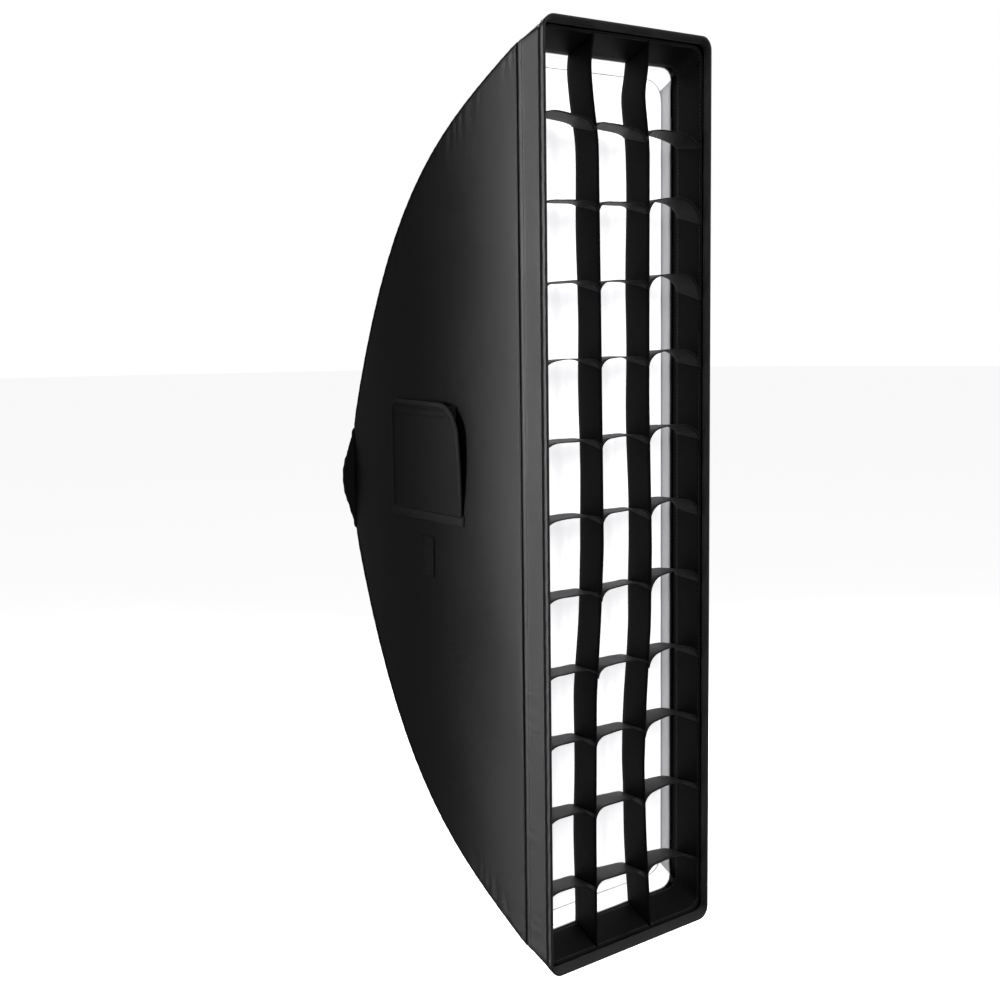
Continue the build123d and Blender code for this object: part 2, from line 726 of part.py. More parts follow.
def make_baffle_tabs():
    """Elastic tabs that tie the baffle's edge to the walls."""
    wall = BAFFLE_SHEET + GAP
    sheet_back = y_at(BAFFLE_DEPTH) + BAFFLE_SHEET
    low_y, high_y = sheet_back + SEWN, sheet_back + SEWN + TAB_THICKNESS
    far = BAFFLE_DEPTH + BAFFLE_SHEET + SEWN + TAB_THICKNESS
    overlap = TAB_WIDTH / 2
    tabs = []
    x_low = half_width(BAFFLE_DEPTH) - BAFFLE_MARGIN - overlap
    x_high = half_width(far) - FABRIC - wall / 4
    for z in (-SIDE_TAB_PITCH, 0.0, SIDE_TAB_PITCH):
        tab = y_span(low_y, high_y, (x_high - x_low) / 2, TAB_WIDTH / 2, x=(x_low + x_high) / 2, z=z)
        tabs += [tab, to_left(tab)]
    z_low = half_height(BAFFLE_DEPTH) - BAFFLE_MARGIN - overlap
    slope = (half_height(BAFFLE_DEPTH) - half_height(far)) / (far - BAFFLE_DEPTH)
    z_high = half_height(far) - (FABRIC + GAP) * math.hypot(1, slope)
    tab = y_span(low_y, high_y, TAB_WIDTH / 2, (z_high - z_low) / 2, z=(z_low + z_high) / 2)
    tabs += [tab, to_bottom(tab)]
    return Compound(children=tabs)


# ---- access flap and keeper strap ---------------------------------------------------------------------
FLAP_TAPE_OUTSET = SEWN + FLAP_TAPE + GAP
FLAP_OUTSET = FLAP_TAPE_OUTSET + FLAP_TAPE + SEWN


def left_layer(depth_front, depth_back, z_low, z_high, outset, thickness, radius=0.0):
    """Sheet outside the left panel; `outset` is the gap under it."""
    margin = 10.0
    sheet = side_sheet(depth_front - margin, depth_back + margin, -outset - thickness, thickness)
    return to_left(sheet) & side_patch(depth_front, depth_back, z_low, z_high, radius)


def make_access_flap():
    foot = FLAP_HINGE_Z + 2 * GAP
    tall = foot - 2 * FLAP_RADIUS
    rounded = left_layer(
        FLAP_FRONT, FLAP_BACK, tall, FLAP_TOP_Z, FLAP_OUTSET, FLAP_SHEET, FLAP_RADIUS
    )
    return rounded & side_patch(FLAP_FRONT - 1, FLAP_BACK + 1, foot, FLAP_TOP_Z + 1)


def flap_tape(outset):
    high = FLAP_TOP_Z - FLAP_TAPE_WIDTH / 4
    return left_layer(
        FLAP_FRONT + FLAP_TAPE_MARGIN,
        FLAP_BACK - FLAP_TAPE_MARGIN,
        high - FLAP_TAPE_WIDTH,
        high,
        outset,
        FLAP_TAPE,
    )


def make_flap_hem():
    high = FLAP_HINGE_Z - 2 * GAP
    return left_layer(
        FLAP_FRONT - HEM_OVERHANG,
        FLAP_BACK + HEM_OVERHANG,
        high - HEM_WIDTH,
        high,
        SEWN,
        HEM_SHEET,
    )


def make_strap():
    return left_layer(STRAP_FRONT, STRAP_BACK, STRAP_LOW, STRAP_HIGH, SEWN, STRAP_SHEET)


# ---- all nodes --------------------------------------------------------------------------------------
def corner_nodes(name, shape):
    places = ("upper_right", "upper_left", "lower_right", "lower_left")
    return {f"{name}_{place}": piece for place, piece in zip(places, four_ways(shape))}


def build_nodes():
    top = make_top_panel()
    nodes = {
        "mount_insert": make_insert(),
        "speedring": make_speedring(),
        "retaining_ring": make_retainer(),
        "retaining_screws": make_retaining_screws(),
        "lock_screw": make_lock_screw(),
        "lock_knob": make_lock_knob(),
        "side_panel_right": make_side_panel(),
        "side_panel_left": make_left_panel(),
        "top_panel": top,
        "bottom_panel": to_bottom(top),
        "front_lip": make_lip(),
        "rim_binding": make_rim_binding(),
        "rear_collar": make_collar(),
        "collar_elastic": make_collar_elastic(),
        "diffuser_loop_tape": make_diffuser_loop_tape(),
        "grid_loop_tape": make_grid_loop_tape(),
        "front_diffuser": make_diffuser(),
        "diffuser_hook_tape": make_diffuser_hook_tape(),
        "grid_band": make_grid_band(),
        "grid_hook_tape": make_grid_hook_tape(),
        "inner_baffle": make_baffle(),
        "baffle_tabs": make_baffle_tabs(),
        "access_flap": make_access_flap(),
        "flap_hook_tape": flap_tape(FLAP_TAPE_OUTSET),
        "flap_loop_tape": flap_tape(SEWN),
        "flap_hem": make_flap_hem(),
        "keeper_strap": make_strap(),
    }
    nodes.update(corner_nodes("rod", make_rod()))
    nodes.update(corner_nodes("rod_cap", make_rod_cap()))
    nodes.update(corner_nodes("rod_pocket", make_pocket()))
    nodes.update(corner_nodes("corner_piping", make_piping()))
    for i, x in enumerate(column_places(), start=1):
        nodes[f"grid_vertical_{i}"] = make_grid_vertical(x)
    for i, z in enumerate(row_heights(), start=1):
        nodes[f"grid_horizontal_{i:02d}"] = make_grid_horizontal(z)
    return nodes


def main():
    os.makedirs("parts", exist_ok=True)
    for name, shape in build_nodes().items():
        export_step(shape, f"parts/{name}.step")
        print(name, len(shape.solids()), round(shape.volume))


main()
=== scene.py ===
"""Strip softbox: the finish of every surface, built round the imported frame.

Units are metres. +Z is up along the long side, -Y is the way the light leaves, and a
"depth" is measured backwards from the plane of the front rim. Cloth, tapes and seams are
meshes made here. The speedring, insert, rods, screws and knob are the frame's own nodes.
"""

import math

import bmesh
import bpy
import numpy as np
from mathutils import Matrix, Vector


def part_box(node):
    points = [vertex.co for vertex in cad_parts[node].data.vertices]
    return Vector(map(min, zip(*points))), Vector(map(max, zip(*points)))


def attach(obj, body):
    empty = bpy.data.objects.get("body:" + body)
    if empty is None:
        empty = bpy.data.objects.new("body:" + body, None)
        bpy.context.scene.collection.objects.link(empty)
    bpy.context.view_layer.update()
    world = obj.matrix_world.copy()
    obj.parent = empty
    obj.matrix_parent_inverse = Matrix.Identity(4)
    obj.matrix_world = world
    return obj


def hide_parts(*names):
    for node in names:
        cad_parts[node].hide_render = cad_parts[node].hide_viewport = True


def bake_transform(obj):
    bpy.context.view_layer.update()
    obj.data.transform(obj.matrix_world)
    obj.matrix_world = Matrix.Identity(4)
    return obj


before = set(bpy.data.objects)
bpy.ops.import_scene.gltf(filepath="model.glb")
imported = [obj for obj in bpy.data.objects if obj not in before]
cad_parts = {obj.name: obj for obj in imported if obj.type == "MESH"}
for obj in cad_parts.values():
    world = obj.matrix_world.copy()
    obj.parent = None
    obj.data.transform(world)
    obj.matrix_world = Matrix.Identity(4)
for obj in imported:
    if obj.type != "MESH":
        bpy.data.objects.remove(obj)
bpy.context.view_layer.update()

MM = 0.001

# ---- sizes taken from the frame -------------------------------------------------------------
RIM_LOW, RIM_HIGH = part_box("rim_binding")
RIM_Y = RIM_LOW.y
HALF_WIDTH, HALF_HEIGHT = RIM_HIGH.x, RIM_HIGH.z


def depths(node):
    """Depths of a node's front and back."""
    low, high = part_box(node)
    return low.y - RIM_Y, high.y - RIM_Y


def heights(node):
    """Lowest and highest z of a node."""
    low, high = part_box(node)
    return low.z, high.z


BACK_DEPTH = depths("side_panel_left")[1]
SEAM_DEPTH = depths("front_lip")[1]
HEM_FRONT, DIFFUSER_BACK = depths("front_diffuser")
FACE_DEPTH = DIFFUSER_BACK - 1 * MM
GRID_FRONT, GRID_BACK = depths("grid_band")
FLAP_FRONT, FLAP_BACK = depths("access_flap")
FLAP_FOOT, FLAP_TOP = heights("access_flap")
STRAP_FRONT, STRAP_BACK = depths("keeper_strap")
STRAP_FOOT, STRAP_TOP = heights("keeper_strap")
BAFFLE_LOW, BAFFLE_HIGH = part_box("inner_baffle")

# ---- sizes that the frame's boxes don't give ------------------------------------------------
BACK_HALF_WIDTH = 76 * MM
BACK_HALF_HEIGHT = 75 * MM
BOW = np.array([(0.0, 1.0), (0.40, 0.79), (0.65, 0.71), (1.0, 0.0)])
CLOTH = 1.0 * MM
RIM_RADIUS = 17 * MM
SEAM_RADIUS = 3 * MM
SOFT_INSET = 4.0 * MM
DIFFUSER_RADIUS = 28 * MM
GRID_RADIUS = 18 * MM
BAFFLE_RADIUS = 30 * MM
WINDOW = (217 * MM, 327 * MM, -4 * MM, 102 * MM)
WINDOW_RADIUS = 14 * MM
FLAP_RADIUS = 18 * MM
FLAP_FRONT_RADIUS = 40 * MM

LEFT_OUT = (-1, 0, 0)
CORNERS = ((1, 1), (-1, 1), (-1, -1), (1, -1))
# The four long seams: side in x, side in z, and name.
SEAMS = ((1, 1, "upper_right"), (1, -1, "lower_right"), (-1, 1, "upper_left"), (-1, -1, "lower_left"))

rng = np.random.default_rng(7)


# ---- the walls ------------------------------------------------------------------------------
def bow_curve(steps=2000):
    """Depth and spread (1 at the rim, 0 at the back edge) along the bow of the rods."""
    t = np.linspace(0, 1, steps + 1)[:, None]
    curve = (1 - t) ** 3 * BOW[0] + 3 * (1 - t) ** 2 * t * BOW[1]
    curve = curve + 3 * (1 - t) * t * t * BOW[2] + t**3 * BOW[3]
    return curve[:, 0] * BACK_DEPTH, curve[:, 1]


BOW_DEPTHS, BOW_SPREADS = bow_curve()
SEAM_SPREAD = np.interp(SEAM_DEPTH, BOW_DEPTHS, BOW_SPREADS)


def spread(depth):
    """The lip is straight from rim to seam, and the panels follow the bow behind it."""
    lip = 1 + (SEAM_SPREAD - 1) * np.asarray(depth, float) / SEAM_DEPTH
    return np.where(depth < SEAM_DEPTH, lip, np.interp(depth, BOW_DEPTHS, BOW_SPREADS))


def half_width(depth):
    return BACK_HALF_WIDTH + (HALF_WIDTH - BACK_HALF_WIDTH) * spread(depth)


def half_height(depth):
    return BACK_HALF_HEIGHT + (HALF_HEIGHT - BACK_HALF_HEIGHT) * spread(depth)


def slope(half, depth):
    step = 0.5 * MM
    return (half(depth + step) - half(depth - step)) / (2 * step)


def inside(half, depth, inset):
    """Half size of a ring that lies `inset` inside a wall, square to it."""
    return half(depth) - inset * np.hypot(1, slope(half, depth))


def xyz(x, y, z):
    return np.stack(np.broadcast_arrays(x, y, z), axis=-1).astype(float)


def wall_offset(half, depth, out):
    """Half size and y of a point that stands `out` off a wall, square to it."""
    lean = slope(half, depth)
    share = out / np.hypot(1, lean)
    return half(depth) + share, RIM_Y + depth - share * lean


def side_wall(side, depth, z, out=0.0):
    """Point on the left (-1) or right (+1) wall."""
    reach, y = wall_offset(half_width, depth, out)
    return xyz(side * reach, y, z)


def end_wall(side, depth, x, out=0.0):
    """Point on the bottom (-1) or top (+1) wall."""
    reach, y = wall_offset(half_height, depth, out)
    return xyz(x, y, side * reach)


def pucker(distance, along, height=0.32 * MM, reach=9 * MM, seed=0.0):
    """Small gathers that a seam leaves in the cloth beside it."""
    swing = 1.7 * np.sin(2 * math.pi * along / 0.061 + seed)
    wave = np.sin(2 * math.pi * along / 0.017 + swing)
    wave = wave * (0.55 + 0.45 * np.sin(2 * math.pi * along / 0.143 + 2.1 * seed))
    return height * distance / reach * np.exp(1 - distance / reach) * wave


# ---- meshes ---------------------------------------------------------------------------------
def unit(vectors):
    return vectors / np.maximum(np.linalg.norm(vectors, axis=-1, keepdims=True), 1e-12)


def tangents(path, closed):
    if closed:
        return unit(np.roll(path, -1, axis=0) - np.roll(path, 1, axis=0))
    return unit(np.gradient(path, axis=0))


def full_circle(count):
    return np.linspace(0, 2 * math.pi, count, endpoint=False)


def link(obj):
    bpy.context.scene.collection.objects.link(obj)
    return obj


def mesh_object(name, points, faces, materials, uv=None, flat_faces=0):
    """Mesh shaded smooth, but for its last flat_faces. uv, in metres, has one pair for each
    corner of each face."""
    mesh = bpy.data.meshes.new(name)
    mesh.from_pydata(np.reshape(points, (-1, 3)).tolist(), [], faces)
    smooth = [True] * (len(faces) - flat_faces) + [False] * flat_faces
    mesh.polygons.foreach_set("use_smooth", smooth)
    for material in materials:
        mesh.materials.append(material)
    if uv is not None:
        layer = mesh.uv_layers.new(name="Cloth")
        layer.data.foreach_set("uv", np.asarray(uv, np.float32).ravel())
    mesh.update()
    return link(bpy.data.objects.new(name, mesh))


def run_lengths(points, axis, closed):
    """Mean distance along the rows of a lattice, from its first line."""
    if closed:
        points = np.concatenate([points, points.take([0], axis=axis)], axis=axis)
    steps = np.linalg.norm(np.diff(points, axis=axis), axis=-1)
    return np.concatenate([[0.0], np.cumsum(steps.mean(axis=1 - axis))])


def ring_run(ring):
    """Distance of each point along a closed ring, and the length of the whole ring."""
    run = run_lengths(ring[None], 1, True)
    return run[:-1], run[-1]


def lattice_faces(points, closed):
    """Corners of the faces over a grid of points, and how far each lies along the cloth."""
    rows, columns = points.shape[:2]
    down, along = run_lengths(points, 0, closed[0]), run_lengths(points, 1, closed[1])
    i, j = np.indices((rows - (not closed[0]), columns - (not closed[1])))
    corners = [(i, j), (i + 1, j), (i + 1, j + 1), (i, j + 1)]
    index = np.stack([(a % rows) * columns + b % columns for a, b in corners], -1)
    uv = np.stack([np.stack([down[a], along[b]], -1) for a, b in corners], -2)
    return index.reshape(-1, 4), uv.reshape(-1, 4, 2)


def lattice(name, points, materials, closed=(False, False), keep=None, centre=None):
    """Sheet over a grid of points (rows, columns, 3); keep masks its faces. The faces look
    away from centre, or from the box's middle line where no centre is given."""
    index, uv = lattice_faces(points, closed)
    if keep is not None:
        index, uv = index[keep.ravel()], uv[keep.ravel()]
    flat = points.reshape(-1, 3)
    corner = flat[index]
    middle = corner.mean(axis=1)
    away = middle * (1, 0, 1) if centre is None else middle - centre
    normal = np.cross(corner[:, 2] - corner[:, 0], corner[:, 3] - corner[:, 1])
    if (normal * away).sum() < 0:
        index, uv = index[:, ::-1], uv[:, ::-1]
    used, index = np.unique(index, return_inverse=True)
    return mesh_object(name, flat[used], index.reshape(-1, 4).tolist(), materials, uv)


def thicken(obj, thickness, lined=False, offset=-1.0):
    """Solidify, with the second material on the inner face where the cloth is lined."""
    solid = obj.modifiers.new("Thickness", "SOLIDIFY")
    solid.thickness = thickness
    solid.offset = offset
    solid.material_offset = 1 if lined else 0
    return obj


def face_outwards(mesh):
    """Turns the faces of every closed part outwards."""
    edited = bmesh.new()
    edited.from_mesh(mesh)
    bmesh.ops.recalc_face_normals(edited, faces=edited.faces)
    edited.to_mesh(mesh)
    edited.free()


def tubes(name, pieces, materials, closed=False, flat_ends=False, laid_out=True):
    """One object of tubes, each a lattice of points (run, round, 3). Open tubes are capped."""
    faces, uv, first = [], [], 0
    for piece in pieces:
        rows, columns = piece.shape[:2]
        index, places = lattice_faces(piece, (closed, True))
        faces += (index + first).tolist()
        uv.append(places.reshape(-1, 2))
        last = first + (rows - 1) * columns
        if not closed:
            faces += [list(range(first, first + columns))[::-1], list(range(last, last + columns))]
            uv.append(np.zeros((2 * columns, 2)))
        first = last + columns
    points = np.concatenate([piece.reshape(-1, 3) for piece in pieces])
    uv = np.concatenate(uv) if laid_out else None
    obj = mesh_object(name, points, faces, materials, uv, 2 if flat_ends else 0)
    face_outwards(obj.data)
    return obj


def sweep(name, path, lift, profile, material, closed=False, away=0):
    """Closed profile of (across, out) pairs carried along a path; out follows lift. On a
    loop, across points away from the loop's middle where away is 1, and to it at -1."""
    path = np.asarray(path, float)
    along = tangents(path, closed)
    lift = np.broadcast_to(np.asarray(lift, float), path.shape)
    out = unit(lift - (lift * along).sum(-1, keepdims=True) * along)
    across = np.cross(along, out)
    if away:
        across = across * away * np.sign((across * (path - path.mean(axis=0))).sum())
    profile = np.broadcast_to(profile, (len(path), *np.shape(profile)[-2:]))
    points = path[:, None] + across[:, None] * profile[..., :1] + out[:, None] * profile[..., 1:]
    return tubes(name, [points], [material], closed, flat_ends=not closed)


def round_profile(radius, sides=10, flat=1.0):
    angles = full_circle(sides)
    return np.stack([radius * np.cos(angles), flat * radius * np.sin(angles)], -1)


def tape_profile(width, thickness):
    """Woven tape seen from its end, with slightly raised edges."""
    w, t = width / 2, thickness
    half = [(w, 0), (w, 0.75 * t), (w - 0.4 * t, 1.05 * t), (w - 1.4 * t, 0.85 * t)]
    return np.array(half + [(-x, y) for x, y in half[::-1]])


def path_run(path):
    return np.concatenate([[0.0], np.cumsum(np.linalg.norm(np.diff(path, axis=0), axis=1))])


def interpolate(at, run, values):
    return np.stack([np.interp(at, run, column) for column in values.T], -1)


STITCH_LENGTH = 2.9 * MM
THREAD_RADIUS = 0.34 * MM


def stitches(name, path, lift, pitch=4 * MM, closed=False, material=None):
    """Row of thread stitches along a line on the cloth; lift points out of the cloth."""
    lift = np.broadcast_to(np.asarray(lift, float), path.shape)
    if closed:
        path, lift = (np.concatenate([values, values[:1]]) for values in (path, lift))
    run = path_run(path)
    count = max(2, round(run[-1] / pitch))
    at = (np.arange(count) + 0.5) * run[-1] / count
    centre, out = interpolate(at, run, path), unit(interpolate(at, run, lift))
    before = interpolate(np.maximum(at - pitch / 4, 0), run, path)
    after = interpolate(np.minimum(at + pitch / 4, run[-1]), run, path)
    along = unit(after - before)
    axes = np.stack([along, np.cross(out, along), out], axis=1)
    stations = np.array([-1.0, -0.72, 0.0, 0.72, 1.0])[:, None]
    angles = full_circle(6)
    girth = THREAD_RADIUS * np.sqrt(np.maximum(1 - stations**4, 0.02))
    rise = THREAD_RADIUS * (0.75 - 1.3 * stations**2)
    local = xyz(stations * STITCH_LENGTH / 2, girth * np.cos(angles), rise + girth * np.sin(angles))
    points = centre[:, None, None] + local @ axes[:, None]
    return tubes(f"stitches_{name}", points, [material or thread], laid_out=False)


def corner_arcs(box, radius, steps):
    """The four round corners of a rectangle (a0, a1, b0, b1), each an array of points."""
    arcs = []
    for k, (side_a, side_b) in enumerate(CORNERS):
        angles = math.pi / 2 * (k + np.linspace(0, 1, steps + 1))
        centre = np.array([box[side_a > 0] - side_a * radius, box[2 + (side_b > 0)] - side_b * radius])
        arcs.append(centre + radius * np.stack([np.cos(angles), np.sin(angles)], -1))
    return arcs


def frame_ring(depth, inset, radius, pitch, end_depth=None):
    """Rounded rectangle across the box at a depth, `inset` inside its outer face. Its top and
    bottom can lie at another depth. The count of points depends only on pitch, so rings at
    several depths match."""
    end_depth = depth if end_depth is None else end_depth
    half_x, half_z = inside(half_width, depth, inset), inside(half_height, end_depth, inset)
    counts = (round(2 * HALF_WIDTH / pitch), round(2 * HALF_HEIGHT / pitch))
    steps = max(6, round(RIM_RADIUS * math.pi / 2 / pitch))
    arcs = corner_arcs((-half_x, half_x, -half_z, half_z), radius, steps)
    points = []
    for k, arc in enumerate(arcs):
        share = np.linspace(0, 1, counts[k % 2] + 1)[1:-1, None]
        points += [arc, arc[-1] + (arcs[(k + 1) % 4][0] - arc[-1]) * share]
    x, z = np.concatenate(points).T
    share = np.clip((np.abs(z) - (half_z - radius)) / radius, 0, 1)
    return xyz(x, RIM_Y + depth + (end_depth - depth) * share * share * (3 - 2 * share), z)


def outward(ring):
    """Directions square to a ring that lies across the box, away from its middle."""
    out = np.cross(tangents(ring, True), (0, 1, 0))
    return unit(out * np.sign((out * ring * (1, 0, 1)).sum()))


def rounded_distance(a, b, box, radius):
    """Signed distance of points (a, b) to a rounded rectangle (a0, a1, b0, b1)."""
    qa = np.abs(a - (box[0] + box[1]) / 2) - ((box[1] - box[0]) / 2 - radius)
    qb = np.abs(b - (box[2] + box[3]) / 2) - ((box[3] - box[2]) / 2 - radius)
    outside = np.hypot(np.maximum(qa, 0), np.maximum(qb, 0))
    return outside + np.minimum(np.maximum(qa, qb), 0) - radius


def cut_lattice(a, b, box, radius, inside_box):
    """Drops the faces of a flat lattice on one side of a rounded rectangle and moves the
    points left at the cut onto it. Returns the moved a and b, and the mask of faces."""
    distance = rounded_distance(a, b, box, radius)
    middle = (distance[1:, 1:] + distance[:-1, :-1] + distance[1:, :-1] + distance[:-1, 1:]) / 4
    keep = middle < 0 if inside_box else middle > 0
    kept, dropped = np.zeros(a.shape, bool), np.zeros(a.shape, bool)
    for mask, side in ((kept, keep), (dropped, ~keep)):
        for i, j in ((0, 0), (0, 1), (1, 0), (1, 1)):
            mask[i : i + side.shape[0], j : j + side.shape[1]] |= side
    moved = distance * (kept & dropped)
    step = 0.01 * MM
    slope_a = (rounded_distance(a + step, b, box, radius) - distance) / step
    slope_b = (rounded_distance(a, b + step, box, radius) - distance) / step
    return a - moved * slope_a, b - moved * slope_b, keep


def rounded_outline(box, radius, pitch=3 * MM):
    """Points (a, b) at an even pitch round a rounded rectangle (a0, a1, b0, b1)."""
    arcs = corner_arcs(box, radius, max(5, round(radius * math.pi / 2 / pitch)))
    loop = np.concatenate([*arcs, arcs[0][:1]])
    run = path_run(loop)
    at = np.linspace(0, run[-1], round(run[-1] / pitch), endpoint=False)
    return interpolate(at, run, loop).T


def area_of(points):
    """Area of an open lattice."""
    a = points[1:, 1:] - points[:-1, :-1]
    b = points[:-1, 1:] - points[1:, :-1]
    return float(np.linalg.norm(np.cross(a, b), axis=-1).sum() / 2)


def place(obj, body, replaces=()):
    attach(obj, body)
    if replaces:
        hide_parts(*replaces)


def sew(name, path, lift, body="box", slot="webbing", **settings):
    """Row of stitches that stays on one body."""
    place(stitches(name, path, lift, **settings), body)


# ---- materials ------------------------------------------------------------------------------
class Signal:
    """A value inside a material. Arithmetic on it adds Math nodes."""

    def __init__(self, paint, socket):
        self.paint = paint
        self.socket = socket

    def maths(self, operation, other=None, clamp=False):
        return self.paint.maths(operation, self, other, clamp)

    def __add__(self, other):
        return self.maths("ADD", other)

    def __sub__(self, other):
        return self.maths("SUBTRACT", other)

    def __mul__(self, other):
        return self.maths("MULTIPLY", other)

    def __abs__(self):
        return self.maths("ABSOLUTE")

    def wave(self, period):
        return (self * (2 * math.pi / period)).maths("SINE")


class Paint:
    """One material and short ways to add nodes to it."""

    def __init__(self, name):
        self.material = bpy.data.materials.new(name)
        self.material.use_nodes = True
        self.tree = self.material.node_tree

    def feed(self, node, inputs):
        """Sets or links a node's inputs, given by name or number."""
        for key, value in inputs.items():
            if isinstance(value, Signal):
                self.tree.links.new(value.socket, node.inputs[key])
            elif value is not None:
                node.inputs[key].default_value = value

    def add(self, kind, inputs, output=0, **settings):
        """Adds a node and returns one of its outputs."""
        node = self.tree.nodes.new("ShaderNode" + kind)
        for key, value in settings.items():
            setattr(node, key, value)
        self.feed(node, inputs)
        return Signal(self, node.outputs[output])

    def surface(self, **inputs):
        """Sets the shader's inputs and returns the finished material."""
        named = {key.replace("_", " "): value for key, value in inputs.items()}
        self.feed(self.tree.nodes["Principled BSDF"], named)
        return self.material

    def maths(self, operation, a, b=None, clamp=False):
        return self.add("Math", {0: a, 1: b}, operation=operation, use_clamp=clamp)

    def blend(self, share, a, b):
        return self.add("Mix", {"Factor": share, 6: a, 7: b}, 2, data_type="RGBA")

    def ramp(self, value, *stops):
        """Colours at chosen values, blended between them."""
        made = self.add("ValToRGB", {0: value})
        elements = made.socket.node.color_ramp.elements
        while len(elements) < len(stops):
            elements.new(0.5)
        for element, (position, colour) in zip(elements, stops):
            element.position = position
            element.color = colour
        return made

    def noise(self, scale, detail, roughness, warp=0.0, where=None):
        inputs = {"Vector": where or self.place(), "Scale": scale, "Detail": detail}
        inputs.update({"Roughness": roughness, "Distortion": warp})
        return self.add("TexNoise", inputs, "Fac")

    def bump(self, height, distance, strength, under=None):
        inputs = {"Height": height, "Distance": distance, "Strength": strength, "Normal": under}
        return self.add("Bump", inputs)

    def place(self):
        return self.add("TexCoord", {}, "Object")

    def split(self, vector):
        """The three parts of a vector."""
        node = self.add("SeparateXYZ", {"Vector": vector}).socket.node
        return [Signal(self, output) for output in node.outputs]

    def cloth_axes(self):
        """Distances along the cloth, in metres."""
        return self.split(self.add("UVMap", {}, uv_map="Cloth"))[:2]

    def weave(self, pitch):
        """Height of a plain weave: warp over weft over warp."""
        a, b = (axis * (math.pi / pitch) for axis in self.cloth_axes())
        above = (a.maths("SINE") * b.maths("SINE")).maths("GREATER_THAN", 0.0)
        warp, weft = abs(a.maths("COSINE")), abs(b.maths("COSINE"))
        return self.add("Mix", {"Factor": above, 2: warp, 3: weft}, data_type="FLOAT")


def grey(value):
    return (value, value, value * 1.02, 1.0)


def woven(name, dark, light, pitch, depth, roughness, wear=0.0, specular=0.5):
    """Cloth: a plain weave, uneven threads, faint soiling in patches and worn edges."""
    paint = Paint(name)
    weave = paint.weave(pitch)
    threads = paint.noise(1 / pitch, 2.0, 0.6)
    patches = paint.noise(7.0, 4.0, 0.6, 0.4)
    tone = (patches + threads) * 0.35 + weave * 0.3
    colour = paint.ramp(tone, (0.30, grey(dark)), (0.72, grey(light)))
    if wear:
        rubbed = paint.add("Attribute", {}, "Fac", attribute_name="wear") * paint.noise(160.0, 4.0, 0.7)
        colour = paint.blend(rubbed.maths("MULTIPLY", wear, clamp=True), colour, grey(light * 3.2))
    creases = paint.bump(paint.noise(38.0, 3.0, 0.55), 0.9 * MM, 0.22)
    normal = paint.bump(weave, depth, 0.6, creases)
    gloss = patches * 0.16 + (roughness - 0.08)
    return paint.surface(Base_Color=colour, Roughness=gloss, Normal=normal, Specular_IOR_Level=specular)


def silver_lining():
    """Silver coating inside the panels: crinkled, with a fine embossed diamond pattern. In
    front of the diffuser the lining is bare black."""
    paint = Paint("silver_lining")
    a, b = paint.cloth_axes()
    diamonds = abs((a + b).wave(9 * MM)) * abs((a - b).wave(9 * MM))
    crinkle = paint.noise(60.0, 5.0, 0.65, 0.6)
    normal = paint.bump(diamonds, 0.15 * MM, 0.5, paint.bump(crinkle, 1.2 * MM, 0.6))
    foil = paint.ramp(crinkle, (0.3, (0.55, 0.56, 0.58, 1)), (0.7, (0.78, 0.79, 0.80, 1)))
    y = paint.split(paint.place())[1]
    coated = y.maths("GREATER_THAN", RIM_Y + DIFFUSER_BACK + 1 * MM)
    gloss = (crinkle * 0.2 + 0.26).maths("MAXIMUM", paint.maths("SUBTRACT", 0.6, coated))
    colour = paint.blend(coated, grey(0.003), foil)
    paint.surface(Metallic=coated * 0.9, Specular_IOR_Level=coated * 0.4 + 0.1)
    return paint.surface(Base_Color=colour, Roughness=gloss, Normal=normal)


def ribbed_tape(name, dark, light, pitch, roughness=0.62):
    """Narrow woven tape with a herringbone rib."""
    paint = Paint(name)
    a, b = paint.cloth_axes()
    rib = ((a + b.maths("PINGPONG", 2.2 * MM)).wave(pitch) + 1.0) * 0.5
    fuzz = paint.noise(900.0, 2.0, 0.6)
    colour = paint.ramp(rib * 0.6 + fuzz * 0.4, (0.2, grey(dark)), (0.8, grey(light)))
    normal = paint.bump(rib, 0.25 * MM, 0.8, paint.bump(fuzz, 0.2 * MM, 0.3))
    paint.surface(Base_Color=colour, Roughness=fuzz * 0.15 + (roughness - 0.08), Normal=normal)
    return paint.surface(Sheen_Weight=0.05, Sheen_Roughness=0.4)


def loop_pile():
    """Fuzzy loop side of hook-and-loop tape."""
    paint = Paint("loop_pile")
    tangle = paint.noise(1400.0, 5.0, 0.8, 1.5)
    tufts = paint.noise(260.0, 3.0, 0.6)
    colour = paint.ramp(tangle, (0.3, grey(0.006)), (0.75, grey(0.035)))
    normal = paint.bump(tangle + tufts * 1.4, 0.6 * MM, 0.9)
    paint.surface(Base_Color=colour, Roughness=0.9, Normal=normal)
    return paint.surface(Sheen_Weight=0.6, Sheen_Roughness=0.5)


def hook_field():
    """Hook side: rows of small stiff hooks."""
    paint = Paint("hook_field")
    a, b = paint.cloth_axes()
    hooks = abs(a.wave(2.2 * MM) * b.wave(2.2 * MM)).maths("POWER", 1.6)
    tone = hooks * paint.noise(700.0, 2.0, 0.6)
    colour = paint.ramp(tone, (0.05, grey(0.005)), (0.6, grey(0.04)))
    return paint.surface(Base_Color=colour, Roughness=0.42, Normal=paint.bump(hooks, 0.8 * MM, 0.9))


